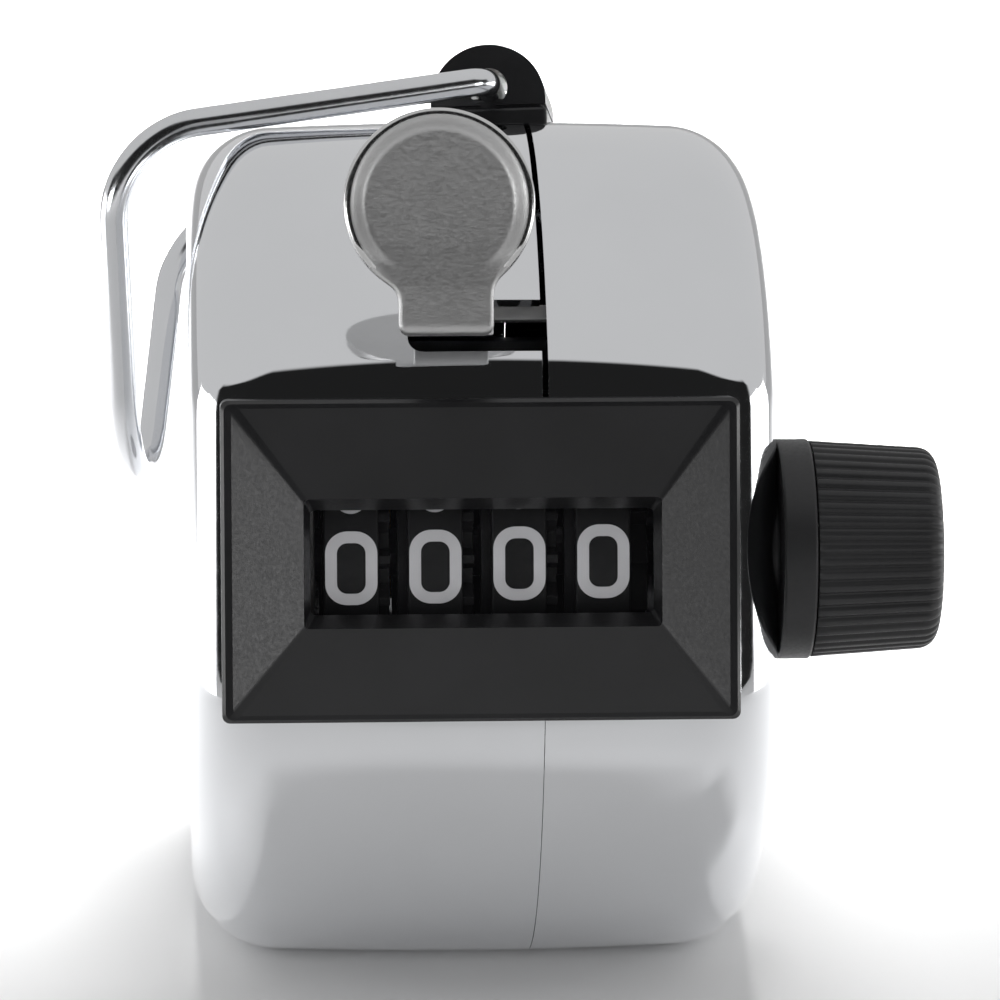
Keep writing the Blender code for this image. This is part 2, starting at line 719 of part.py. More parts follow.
def make_springs(materials, axis):
    """A leaf that rests by the ratchet, and a torsion spring about the lever's pivot."""
    post = POSTS["spacer_front"]
    path = [(post[0] + 1.6, post[1] + 1.6), *LEAF_PATH]
    leaf = prism("detent_spring", ribbon(path, LEAF_HALF_THICK), *PAWL_X)
    join(leaf, tube("clip", *post, POST_R + GAP, POST_R + GAP + 0.5, *PAWL_X, 20))
    settle(leaf, axis, materials["steel"])

    f, u = PIVOT
    places = [point(COIL_START_X, f - 4.2, u - 1.5), point(COIL_START_X, f - 2.0, u - 1.3)]
    for i in range(int(COIL_TURNS * COIL_STEPS)):
        turn = 2 * math.pi * i / COIL_STEPS - math.pi / 2
        x = COIL_START_X + COIL_PITCH * i / COIL_STEPS
        places.append(point(x, f + COIL_R * math.cos(turn), u + COIL_R * math.sin(turn)))
    places.append(places[-1] + point(0, 0, 1.5))
    settle(wire("return_spring", places, COIL_WIRE_R, 1), axis, materials["steel"])


def wire(name, places, radius, resolution):
    """A round wire with closed ends along a list of positions."""
    curve = bpy.data.curves.new(name, "CURVE")
    curve.dimensions = "3D"
    curve.bevel_depth = radius * MM
    curve.bevel_resolution = resolution
    curve.use_fill_caps = True
    spline = curve.splines.new("POLY")
    spline.points.add(len(places) - 1)
    for spot, place in zip(spline.points, places):
        spot.co = (*place, 1.0)
    return add_object(name, curve)


# ---- Reset knob ---------------------------------------------------------------------------------


def make_knob(materials, axis):
    """Collar on the case, and the knob with its shaft through the wheels."""
    place = on_axis(SHAFT_F, 0)
    bore = SHAFT_R + GAP
    seat = CASE_HALF_WIDTH + GAP
    profile = [(seat, bore), (seat, COLLAR_R), (COLLAR_X - 0.2, COLLAR_R)]
    profile += [(COLLAR_X, COLLAR_R - 0.2), (COLLAR_X, bore)]
    collar = turned("reset_bush", profile, place, 28)
    join(collar, tube("spigot", SHAFT_F, 0, bore + 0.05, SPIGOT_R, SPIGOT_X, COLLAR_X - 0.6, 24))
    settle(collar, axis, materials["black_plastic"])

    near, far = KNOB_R
    start = COLLAR_X + GAP
    depth = KNOB_END_X - KNOB_FLOOR
    profile = [(depth, 0), (depth, bore), (start, bore), (start, near), (KNOB_END_X - 1.0, far + 0.06)]
    profile += [(KNOB_END_X - 0.3, far - 0.25), (KNOB_END_X, far - 0.9), (KNOB_END_X, 0)]
    knob = turned("reset_knob", profile, place, 32, closed=False)
    settle(knob, axis, materials["black_plastic"], point(0, SHAFT_F, 0))

    left, neck = -PLATE_X[1] - 1.7, SHAFT_R - NECK_DEPTH
    right = depth - GAP
    profile = [(left, 0), (left, SHAFT_R), (left + 0.5, SHAFT_R), (left + 0.5, neck), (left + 1.6, neck)]
    profile += [(left + 1.6, SHAFT_R), (right, SHAFT_R), (right, 0)]
    shaft = turned("main_shaft", profile, place, 16, closed=False)
    settle(shaft, axis, materials["steel"], point(0, SHAFT_F, 0))
    clip = tube("shaft_clip", SHAFT_F, 0, neck + GAP, CLIP_R, left + 0.8, left + 1.3, 24)
    cut(clip, box("mouth", (left, left + 2), (SHAFT_F, SHAFT_F + 4), (-0.7, 0.7)))
    settle(clip, axis, materials["steel"], point(0, SHAFT_F, 0))


# ---- Finger ring --------------------------------------------------------------------------------


def fillet_path(corners, steps=5):
    """Straight runs through (place, radius) corners, each turned by an arc of its own radius."""
    places = [corners[0][0]]
    for (before, _), (corner, radius), (after, _) in zip(corners, corners[1:], corners[2:]):
        back = (before - corner).normalized()
        on = (after - corner).normalized()
        half = back.angle(on) / 2
        reach = radius / math.tan(half)
        middle = corner + (back + on).normalized() * radius / math.sin(half)
        start = corner + back * reach - middle
        axis = start.cross(corner + on * reach - middle).normalized()
        sweep = math.pi - 2 * half
        for step in range(steps + 1):
            places.append(middle + Matrix.Rotation(sweep * step / steps, 3, axis) @ start)
    places.append(corners[-1][0])
    return places


def ring_places():
    """The ring's path in the lug's (s, p, q) from its hole: out of one side, round the bow and in again."""
    marks = [(-s, *rest) for s, *rest in RING_ENDS] + [RING_BOW, *RING_ENDS[::-1]]
    return fillet_path([(Vector((s, p, q)), radius) for s, p, q, radius in marks], 7)


def make_ring(materials, axis):
    hinge = lug_point(0, 0, RING_HOLE)
    places = [lug_point(s, p, RING_HOLE + q) - hinge for s, p, q in ring_places()]
    ring = wire("finger_ring", places, WIRE_R, 3)
    ring.location = hinge
    settle(ring, axis, materials["chrome"])


def main():
    clear_scene()
    axis = add_object("case_axis", None)
    materials = make_materials()
    make_case(materials, axis)
    make_bezel(materials, axis)
    make_lug(materials, axis)
    make_frame(materials, axis)
    make_fasteners(materials, axis)
    make_shafts(materials, axis)
    make_wheels(materials, axis)
    make_pinions(materials, axis)
    make_lever(materials, axis)
    make_pawl(materials, axis)
    make_springs(materials, axis)
    make_knob(materials, axis)
    make_ring(materials, axis)
    axis.location = (0, 0, CASE_HEIGHT * MM)
    axis.rotation_euler = (-LEAN, 0, 0)
    bpy.context.view_layer.update()


main()
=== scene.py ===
"""Hand tally counter: the finished look of each piece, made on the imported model's own frame.

Sizes are in millimetres. Pieces are drawn in the case's frame: x across to the right, f forward through the
window and u up along it, from the drum's axis. That frame leans back by LEAN on the flat it stands on.
"""
import math

import bmesh
import bpy
import numpy as np
from mathutils import Matrix, Vector, noise
from mathutils.geometry import delaunay_2d_cdt

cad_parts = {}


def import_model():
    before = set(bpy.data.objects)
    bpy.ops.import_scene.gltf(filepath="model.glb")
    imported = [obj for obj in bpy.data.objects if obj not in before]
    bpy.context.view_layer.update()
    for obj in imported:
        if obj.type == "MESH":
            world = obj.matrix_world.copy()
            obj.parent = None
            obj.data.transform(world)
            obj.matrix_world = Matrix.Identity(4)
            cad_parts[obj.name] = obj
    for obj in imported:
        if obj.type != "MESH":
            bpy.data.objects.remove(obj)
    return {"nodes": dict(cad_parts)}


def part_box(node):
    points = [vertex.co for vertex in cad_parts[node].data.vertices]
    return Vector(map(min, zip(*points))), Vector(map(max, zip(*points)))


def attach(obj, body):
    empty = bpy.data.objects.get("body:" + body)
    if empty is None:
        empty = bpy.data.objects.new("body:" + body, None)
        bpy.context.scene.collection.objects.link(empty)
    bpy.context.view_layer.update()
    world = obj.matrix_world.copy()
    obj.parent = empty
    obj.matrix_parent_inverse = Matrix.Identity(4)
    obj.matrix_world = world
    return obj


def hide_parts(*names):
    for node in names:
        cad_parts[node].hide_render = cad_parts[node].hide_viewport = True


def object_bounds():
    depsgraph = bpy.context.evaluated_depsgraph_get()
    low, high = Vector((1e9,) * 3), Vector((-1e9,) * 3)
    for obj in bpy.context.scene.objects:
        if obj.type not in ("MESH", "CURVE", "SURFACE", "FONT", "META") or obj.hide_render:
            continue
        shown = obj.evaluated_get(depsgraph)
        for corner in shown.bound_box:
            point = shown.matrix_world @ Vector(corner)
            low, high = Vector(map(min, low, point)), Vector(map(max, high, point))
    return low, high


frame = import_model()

CAD_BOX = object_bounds()
MM = 0.001
GAP = 0.3
LEAN = math.radians(15.0)
DOWN = -math.pi / 2 - LEAN  # towards the foot, turned from forward towards up

CASE_R = 22.5
CASE_HALF_WIDTH = 15.27
CASE_CORNER = 4.4
CORNER_X = CASE_HALF_WIDTH - CASE_CORNER
CASE_CROWN = 0.46
WALL = 0.6
SEAM_X = 2.9
SEAM_OPEN = (12.0, 100.0)  # degrees up from forward, between which the seam is open
SEAM_CLOSED = 0.03
FOOT_HALF_LENGTH = 6.0
CASE_HEIGHT = math.sqrt(CASE_R**2 - FOOT_HALF_LENGTH**2)
SLOT_X = -3.96
SLOT_U = (10.56, 13.15)
SLOT_CORNER = 0.8
SLOT_STEPS = 5
FLAT_U = (-8.3, 9.85)  # lower and upper edges of the flat front that the window sits on
FLAT_TURNS = tuple(math.asin(u / CASE_R) for u in FLAT_U)
FLAT_TURN = sum(FLAT_TURNS) / 2
FLAT_REACH = CASE_R * math.cos(FLAT_TURNS[1] - FLAT_TURN)
FLAT_EASE = 0.22  # how soft the edges of the flat are
BUSH_HOLE_R = 3.2

WINDOW_X = -0.4
BEZEL_SIZE = (26.4, 16.4)
FACET_SIZE = (25.3, 15.6)
OPENING_SIZE = (18.1, 6.55)
OPENING_INNER = (17.4, 5.3)
RECESS_SIZE = (20.6, 8.6)
PLUG_SIZE = (24.2, 14.2)
PLUG_BORE = (20.9, 13.0)
RECESS_BACK = 21.3
LENS_SIZE = (20.0, 8.0)
RIM_F = 22.9
FRONT_F = 24.9
SHELF_F = 23.6
LENS_F = (22.6, 23.3)
PLUG_BACK = 20.3

SHAFT_F = 14.6
SHAFT_R = 1.25
WHEEL_R = 7.5
WHEEL_EDGE = 0.08
WHEEL_PITCH = 4.28
WHEEL_HALF_WIDTH = 1.4
STACK_X = -0.57
GEAR_TEETH = 20
GEAR_R = (7.0, 5.75)
CARRY_R = 5.5
CARRY_WIDTH = 0.48
RATCHET_R = (3.0, 4.4)
RATCHET_X = (7.5, 8.4)
RATCHET_FACE = math.radians(102.2)
RATCHET_TEETH = 10

DIGIT_SIZE = (2.06, 3.2)  # of the line down the middle of the strokes
DIGIT_STROKE = 0.6
DIGIT_THICK = 0.03
DIGIT_SUNK = 0.02
ZERO_ANGLES = {"thousands": -3.1, "hundreds": -2.7, "tens": -1.7, "units": -1.1}

PIVOT = (17.9, -8.4)
TONGUE_R = 20.87
TONGUE_THICK = 0.8
TONGUE_TURNS = (-7.0, 14.6)  # degrees about the pivot from straight up
BRIDGE_TURNS = (-7.5, -2.5)
PAD_X = -2.46
PAD_U = 18.1
PAD_R = 4.85
PAD_BACK = 23.08
PAD_FRONT = 24.1
PAD_RIM = 0.34  # width of the polished band round the pad
RIM_LOW = PAD_U - 3.2
NECK_X = (-4.55, 0.27)
NECK_LOW = 11.42
LEG_X = 9.2
LEG_THICK = 0.8
LEG_HALF_WIDTH = 1.2

COLLAR_R = 5.74
COLLAR_X = 17.05
KNOB_R = (5.64, 5.27)
KNOB_END_X = 23.7
KNOB_GAP = 0.06
KNOB_RIBS = 48
RIB_DEPTH = 0.15

LUG_ANGLE = math.radians(101.5)
LUG_YAW = math.radians(8.0)
LUG_X = 1.6
LUG_R = 3.15
LUG_HALF_LENGTH = 2.75
LUG_CENTRE = 1.1
RING_HOLE = 1.85
WIRE_R = 0.775
# One half of the ring's wire, from its end in the lug: along it, to its left, outward, and the bend's radius.
RING_HALF = ((0.5, 0.0, 0.0, 0.0), (4.4, 0.0, 0.0, 1.3), (12.3, 19.4, -4.0, 5.0))
RING_FAR = (0.0, 20.1, -27.3, 6.3)


# ---- Shared tools -------------------------------------------------------------------------------


def box_centre(node):
    low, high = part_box(node)
    return (Vector(low) + Vector(high)) / 2


AXIS = Vector((0.0, *box_centre("core_post")[1:]))


def world(points):
    """Places in the case's frame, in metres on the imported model."""
    x, f, u = np.asarray(points, float).T
    y = -f * math.cos(LEAN) + u * math.sin(LEAN)
    z = f * math.sin(LEAN) + u * math.cos(LEAN)
    return np.array(AXIS) + np.stack([x, y, z], axis=1) * MM


def add_object(name, data):
    obj = bpy.data.objects.new(name, data)
    bpy.context.collection.objects.link(obj)
    return obj


class Shape:
    """Points and faces of one or more solids, in the case's frame."""

    def __init__(self):
        self.points = []
        self.faces = []

    def add(self, points):
        start = len(self.points)
        self.points.extend(tuple(p) for p in points)
        return list(range(start, len(self.points)))

    def bridge(self, first, second):
        count = max(len(first), len(second))
        for i in range(count):
            j = (i + 1) % count
            near = (first[i % len(first)], first[j % len(first)])
            far = (second[j % len(second)], second[i % len(second)])
            self.faces.append(list(dict.fromkeys(near + far)))

    def loft(self, loops, closed=False):
        rings = [self.add(loop) for loop in loops]
        for first, second in zip(rings, rings[1:]):
            self.bridge(first, second)
        if closed:
            self.bridge(rings[-1], rings[0])
        else:
            self.faces.extend(ring for ring in (rings[0], rings[-1]) if len(ring) > 2)
        return self

    def prism(self, outline, x_low, x_high):
        return self.loft([[(x, f, u) for f, u in outline] for x in (x_low, x_high)])

    def turned(self, profile, f, u, segments=96, closed=True):
        """(along, radius) points turned about a line across the case."""
        loops = []
        for along, radius in profile:
            turns = [2 * math.pi * i / segments for i in range(segments if radius else 1)]
            loops.append([(along, f + radius * math.cos(t), u + radius * math.sin(t)) for t in turns])
        return self.loft(loops, closed)

    def rod(self, f, u, radius, x_low, x_high, segments=48):
        profile = [(x_low, 0), (x_low, radius), (x_high, radius), (x_high, 0)]
        return self.turned(profile, f, u, segments, False)

    def tube(self, f, u, inner, outer, x_low, x_high, segments=64):
        profile = [(x_low, inner), (x_low, outer), (x_high, outer), (x_high, inner)]
        return self.turned(profile, f, u, segments)

    def object(self, name, outward=True):
        mesh = bpy.data.meshes.new(name)
        mesh.from_pydata(world(self.points).tolist(), [], self.faces)
        if outward:
            shape = bmesh.new()
            shape.from_mesh(mesh)
            bmesh.ops.recalc_face_normals(shape, faces=shape.faces)
            shape.to_mesh(mesh)
            shape.free()
        return add_object(name, mesh)


def apply_modifiers(obj):
    graph = bpy.context.evaluated_depsgraph_get()
    mesh = bpy.data.meshes.new_from_object(obj.evaluated_get(graph))
    obj.modifiers.clear()
    obj.data = mesh
    return obj


def cut(obj, *tools):
    for tool in tools:
        modifier = obj.modifiers.new("cut", "BOOLEAN")
        modifier.operation = "DIFFERENCE"
        modifier.solver = "EXACT"
        modifier.object = tool
        apply_modifiers(obj)
        bpy.data.objects.remove(tool, do_unlink=True)
    return obj


def soften(obj, width, segments=3, angle=32):
    """Rounds the edges sharper than an angle, and shades the rest smooth."""
    obj.data.shade_smooth()
    modifier = obj.modifiers.new("soften", "BEVEL")
    modifier.width = width * MM
    modifier.segments = segments
    modifier.limit_method = "ANGLE"
    modifier.angle_limit = math.radians(angle)
    modifier.use_clamp_overlap = True
    modifier.harden_normals = True
    apply_modifiers(obj)
    return obj


def dress(obj, body, slot, materials, *nodes):
    """A finished piece: its materials, the body it moves with, and the solids it stands for."""
    obj.data.materials.clear()
    for material in materials:
        obj.data.materials.append(material)
    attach(obj, body)
    if nodes:
        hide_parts(*nodes)
    return obj


def spaced(marks, step):
    """Values from the first mark to the last, through every mark, no further apart than a step."""
    values = [marks[0]]
    for start, stop in zip(marks, marks[1:]):
        count = max(1, math.ceil(abs(stop - start) / step - 1e-6))
        values += [start + (stop - start) * i / count for i in range(1, count + 1)]
    return values


def smoothstep(value, start, stop):
    t = np.clip((value - start) / (stop - start), 0.0, 1.0)
    return t * t * (3 - 2 * t)


# ---- Materials ----------------------------------------------------------------------------------


def finish(name, colour, metallic, roughness, grain, colour_spread=0.08, rough_spread=0.05,
           bump=0.0, stretch=(1.0, 1.0, 1.0), detail=5.0, wear_grain=6.0):
    """A surface whose tone and polish wander, with fine relief. Grains are sizes in millimetres."""
    material = bpy.data.materials.new(name)
    material.use_nodes = True
    nodes = material.node_tree.nodes
    links = material.node_tree.links
    shader = nodes["Principled BSDF"]
    shader.inputs["Metallic"].default_value = metallic
    place = nodes.new("ShaderNodeTexCoord")

    def wander(size, scale=(1.0, 1.0, 1.0), octaves=detail):
        mapping = nodes.new("ShaderNodeMapping")
        mapping.inputs["Scale"].default_value = [s / (size * MM) for s in scale]
        links.new(place.outputs["Object"], mapping.inputs["Vector"])
        texture = nodes.new("ShaderNodeTexNoise")
        texture.inputs["Scale"].default_value = 1.0
        texture.inputs["Detail"].default_value = octaves
        links.new(mapping.outputs["Vector"], texture.inputs["Vector"])
        return texture.outputs["Fac"]

    patches = wander(wear_grain)
    fine = wander(grain, stretch)
    ramp = nodes.new("ShaderNodeValToRGB")
    ramp.color_ramp.elements[0].position = 0.3
    ramp.color_ramp.elements[1].position = 0.7
    ramp.color_ramp.elements[0].color = [c * (1 - colour_spread) for c in colour] + [1.0]
    ramp.color_ramp.elements[1].color = [min(1.0, c * (1 + colour_spread)) for c in colour] + [1.0]
    links.new(patches, ramp.inputs["Fac"])
    links.new(ramp.outputs["Color"], shader.inputs["Base Color"])
    polish = nodes.new("ShaderNodeMapRange")
    polish.inputs["From Min"].default_value = 0.3
    polish.inputs["From Max"].default_value = 0.7
    polish.inputs["To Min"].default_value = max(0.01, roughness - rough_spread)
    polish.inputs["To Max"].default_value = roughness + rough_spread
    links.new(fine, polish.inputs["Value"])
    links.new(polish.outputs["Result"], shader.inputs["Roughness"])
    if bump:
        relief = nodes.new("ShaderNodeBump")
        relief.inputs["Strength"].default_value = 1.0
        relief.inputs["Distance"].default_value = bump * MM
        links.new(fine, relief.inputs["Height"])
        links.new(relief.outputs["Normal"], shader.inputs["Normal"])
    return material


def clear_finish(name):
    """Clear moulded window: mostly seen through, with a faint film."""
    material = finish(name, (0.02, 0.02, 0.022), 0.0, 0.05, 0.4, 0.3, 0.02)
    shader = material.node_tree.nodes["Principled BSDF"]
    shader.inputs["Alpha"].default_value = 0.10
    shader.inputs["IOR"].default_value = 1.49
    return material


CHROME = finish("chrome", (0.83, 0.84, 0.86), 1.0, 0.055, 0.5, 0.015, 0.02, bump=0.0004, wear_grain=9.0)
CHROME_INSIDE = finish("chrome_inside", (0.10, 0.10, 0.105), 1.0, 0.5, 0.3, 0.2, 0.1)
WIRE_CHROME = finish("wire_chrome", (0.78, 0.79, 0.81), 1.0, 0.16, 0.25, 0.03, 0.03, bump=0.001)
NICKEL = finish("satin_nickel", (0.60, 0.60, 0.60), 0.95, 0.46, 0.16, 0.04, 0.07, bump=0.010,
                stretch=(0.45, 1.0, 1.3))
RIM_NICKEL = finish("worn_nickel", (0.70, 0.70, 0.70), 1.0, 0.2, 0.16, 0.04, 0.05, bump=0.002)
STEEL = finish("frame_steel", (0.42, 0.42, 0.44), 1.0, 0.36, 0.12, 0.1, 0.08, bump=0.002,
               stretch=(1.0, 0.2, 1.0))
BRASS = finish("brass", (0.72, 0.53, 0.24), 1.0, 0.3, 0.2, 0.12, 0.08, bump=0.002)
BLACK = finish("black_moulding", (0.009, 0.009, 0.010), 0.0, 0.36, 0.18, 0.25, 0.05, bump=0.0012)
KNOB_BLACK = finish("black_knob", (0.014, 0.014, 0.015), 0.0, 0.45, 0.18, 0.25, 0.06, bump=0.002)
WHEEL_BLACK = finish("wheel_black", (0.014, 0.014, 0.015), 0.0, 0.5, 0.3, 0.3, 0.08, bump=0.002)
DIGIT_WHITE = finish("digit_paint", (0.90, 0.90, 0.93), 0.0, 0.55, 0.2, 0.05, 0.08, bump=0.003,
                     wear_grain=1.5)
CLEAR = clear_finish("clear_window")


# ---- Case ---------------------------------------------------------------------------------------


def skin_radius(x):
    """The drum's radius at a place across it."""
    reach = min(max(abs(x) - CORNER_X, 0.0), CASE_CORNER)
    return CASE_R - CASE_CORNER + math.sqrt(CASE_CORNER**2 - reach**2) - crown_drop(x)


def crown_drop(x):
    return CASE_CROWN * (x / CASE_HALF_WIDTH) ** 2


def flat_forward(x, u, lift=0.0):
    """How far forward the flat front is, at a place on it."""
    drop = CASE_R - crown_drop(x) - skin_radius(x)
    return (FLAT_REACH + lift - drop - u * math.sin(FLAT_TURN)) / math.cos(FLAT_TURN)


def section_reach(radius, drop, turn):
    """One section of the drum: round, with an eased flat at the front and another at the foot."""
    reach = radius
    facing = math.cos(turn - FLAT_TURN)
    if facing > 0.5:
        flat = (FLAT_REACH - drop) / facing
        ease = max(FLAT_EASE - abs(flat - radius), 0.0) ** 2 / (4 * FLAT_EASE)
        reach = min(radius, flat) - ease
    foot = math.cos(turn - DOWN)
    return min(reach, CASE_HEIGHT / foot) if foot > 0 else reach


def skin_point(x, radius, turn):
    """A place on the skin. On an end of the case, a smaller radius is a place nearer its middle."""
    edge = max(radius, skin_radius(CASE_HALF_WIDTH))
    reach = section_reach(edge, CASE_R - crown_drop(x) - edge, turn)
    if radius < edge:
        share = radius / edge
        reach = radius * (1 + share**2 * (reach / edge - 1))
    return (x, reach * math.cos(turn), reach * math.sin(turn))


def skin_stations(side, hub, window_edge, marks):
    """(x, r) from the middle of one end, round its corner and along the drum to the seam."""
    end_step, corner_step, drum_step = 1.3, math.radians(4.5), 0.6
    places = [(side * CASE_HALF_WIDTH, r) for r in spaced([hub, skin_radius(CASE_HALF_WIDTH)], end_step)]
    split = math.acos((window_edge - CORNER_X) / CASE_CORNER)
    for turn in spaced([0.0, split, math.pi / 2], corner_step)[1:]:
        x = CORNER_X + CASE_CORNER * math.cos(turn)
        places.append((side * x, skin_radius(x)))
    for x in spaced([side * CORNER_X, *marks], drum_step)[1:]:
        places.append((x, skin_radius(x)))
    return places


def skin_rows():
    """Turns round the drum, with a row along each edge of the window, the slot and the foot."""
    half = PLUG_SIZE[1] / 2 + GAP
    window = [math.atan2(u, flat_forward(0, u)) for u in (-half, half)]
    slot = [math.asin(u / CASE_R) for u in SLOT_U]
    corner = SLOT_CORNER / CASE_R
    foot = math.acos(CASE_HEIGHT / CASE_R)
    fine, coarse, ease = math.radians(0.3), math.radians(2.0), math.radians(1.8)
    low, high = FLAT_TURNS
    marks = [
        (DOWN - foot, coarse), (DOWN + foot, coarse), (low - ease, fine), (low + ease, fine),
        (window[0], coarse), (window[1], coarse), (high - ease, fine), (slot[0], corner / SLOT_STEPS),
        (slot[0] + corner, coarse), (slot[1], coarse), (DOWN - foot + 2 * math.pi, coarse),
    ]
    rows = []
    for (start, step), (stop, _) in zip(marks, marks[1:]):
        rows += spaced([start, stop], step)[:-1]
    return rows, window, slot


def seam_gap(turn):
    """The gap between the halves: open from the window to the lug, all but closed elsewhere."""
    low, high = (math.radians(mark) for mark in SEAM_OPEN)
    ease = math.radians(6.0)
    rise = float(smoothstep(turn, low, low + ease) * (1 - smoothstep(turn, high, high + ease)))
    return SEAM_CLOSED + (GAP - SEAM_CLOSED) * rise


def make_half(name, side, node, hub, window_edge, marks):
    rows, window, slot = skin_rows()
    stations = skin_stations(side, hub, window_edge, marks)
    shape = Shape()
    grid = []
    for i, (x, radius) in enumerate(stations):
        last = side > 0 and i == len(stations) - 1
        grid.append(shape.add([skin_point(SEAM_X + seam_gap(t) if last else x, radius, t) for t in rows]))

    def open_cell(x, turn):
        in_window = window[0] < turn < window[1] and abs(x) < window_edge
        return in_window or (side < 0 and x > SLOT_X and slot[0] < turn < slot[1])

    for i, (near, far) in enumerate(zip(grid, grid[1:])):
        middle = (stations[i][0] + stations[i + 1][0]) / 2
        for j in range(len(rows)):
            k = (j + 1) % len(rows)
            turn = (rows[j] + (rows[k] if k else rows[j] + 0.01)) / 2
            if not open_cell(middle, turn):
                shape.faces.append([near[j], far[j], far[k], near[k]][::int(-side)])
    if side < 0:
        round_slot_corner(shape, grid, stations, rows, slot[0])
    half = shape.object(name, outward=False)
    thicken = half.modifiers.new("wall", "SOLIDIFY")
    thicken.thickness = WALL * MM
    thicken.offset = -1
    thicken.material_offset = 1
    thicken.material_offset_rim = 0
    apply_modifiers(half)
    if side > 0:
        reach = (CASE_HALF_WIDTH - 2, CASE_HALF_WIDTH + 2)
        cut(half, Shape().rod(SHAFT_F, 0, BUSH_HOLE_R, *reach).object("hole"))
    soften(half, 0.1)
    return dress(half, "case", "case_chrome", (CHROME, CHROME_INSIDE), node)


def round_slot_corner(shape, grid, stations, rows, low):
    """Fills the slot's lower corner back to an arc."""
    steps = SLOT_STEPS
    column = next(i for i, (x, _) in enumerate(stations) if abs(x - SLOT_X) < 1e-6)
    row = rows.index(low)
    border = [grid[column + steps - i][row] for i in range(steps)]
    border += [grid[column][row + i] for i in range(steps + 1)]
    arc = []
    for i in range(2 * steps + 1):
        turn = -math.pi / 2 * (1 + i / (2 * steps))
        x = SLOT_X + SLOT_CORNER * (1 + math.cos(turn))
        arc.append((x, skin_radius(x), low + SLOT_CORNER / CASE_R * (1 + math.sin(turn))))
    inner = shape.add([skin_point(*place) for place in arc[1:-1]])
    inner = [border[0], *inner, border[-1]]
    for i in range(2 * steps):
        corners = [border[i], inner[i], inner[i + 1], border[i + 1]]
        shape.faces.append(list(dict.fromkeys(corners)))


def make_case():
    split = [SLOT_X, SLOT_X + SLOT_CORNER]
    corner_columns = spaced(split, SLOT_CORNER / SLOT_STEPS)
    left_edge = PLUG_SIZE[0] / 2 + GAP - WINDOW_X
    right_edge = PLUG_SIZE[0] / 2 + GAP + WINDOW_X
    make_half("case_left", -1, "left_shell", 2.0, left_edge, [*corner_columns, SEAM_X])
    make_half("case_right", 1, "right_shell", 1.0, right_edge, [SEAM_X + GAP])


# ---- Window -------------------------------------------------------------------------------------


def rectangle(size, radius=0.4, corner_steps=6):
    """(x, u) points of a rounded rectangle about the window's centre, its sides split finely."""
    half_x = size[0] / 2 - radius
    half_u = size[1] / 2 - radius
    centres = [(half_x, half_u), (-half_x, half_u), (-half_x, -half_u), (half_x, -half_u)]
    points = []
    for corner, (centre_x, centre_u) in enumerate(centres):
        for i in range(corner_steps + 1):
            turn = math.pi / 2 * (corner + i / corner_steps)
            x, u = centre_x + radius * math.cos(turn), centre_u + radius * math.sin(turn)
            points.append((WINDOW_X + x, u))
        along, pieces = ((-2 * half_x, 0), 36) if corner % 2 == 0 else ((0, -2 * half_u), 22)
        sign = 1 if corner < 2 else -1
        x, u = points[-1]
        step_x, step_u = (sign * reach / pieces for reach in along)
        points += [(x + step_x * i, u + step_u * i) for i in range(1, pieces)]
    return points


def framed(size, f, radius=0.4):
    return [(x, f, u) for x, u in rectangle(size, radius)]


def seated(size, lift):
    """A rounded rectangle that lies on the flat front and round its corners."""
    return [(x, flat_forward(x, u, lift), u) for x, u in rectangle(size)]


def make_window():
    lift = 0.04
    lip_width, lip_depth = 0.35, 0.25
    loops = [
        seated(BEZEL_SIZE, lift),
        framed(BEZEL_SIZE, RIM_F - lip_depth),
        framed([side - lip_width for side in BEZEL_SIZE], RIM_F),
        framed(FACET_SIZE, RIM_F + 0.02),
        framed(OPENING_SIZE, FRONT_F, 0.25),
        framed(OPENING_INNER, SHELF_F, 0.25),
        framed(RECESS_SIZE, SHELF_F),
        framed(RECESS_SIZE, RECESS_BACK),
        framed(PLUG_BORE, RECESS_BACK),
        framed(PLUG_BORE, PLUG_BACK),
        framed(PLUG_SIZE, PLUG_BACK),
        seated(PLUG_SIZE, lift),
    ]
    bezel = Shape().loft(loops, closed=True).object("bezel")
    soften(bezel, 0.09, 3, 18)
    dress(bezel, "case", "black_plastic", (BLACK,), "window_bezel")
    low, high = LENS_F
    edge = 0.1
    inset = [side - 2 * edge for side in LENS_SIZE]
    levels = ((inset, low), (LENS_SIZE, low + edge), (LENS_SIZE, high - edge), (inset, high))
    loops = [framed(size, f) for size, f in levels]
    lens = Shape().loft(loops).object("window")
    soften(lens, 0.03, 2)
    dress(lens, "case", "lens", (CLEAR,), "window_lens")


# ---- Number wheels ------------------------------------------------------------------------------


def arc(centre_x, centre_y, radius_x, radius_y, start, stop, steps=20):
    turns = [math.radians(start + (stop - start) * i / steps) for i in range(steps + 1)]
    return [(centre_x + radius_x * math.cos(t), centre_y + radius_y * math.sin(t)) for t in turns]


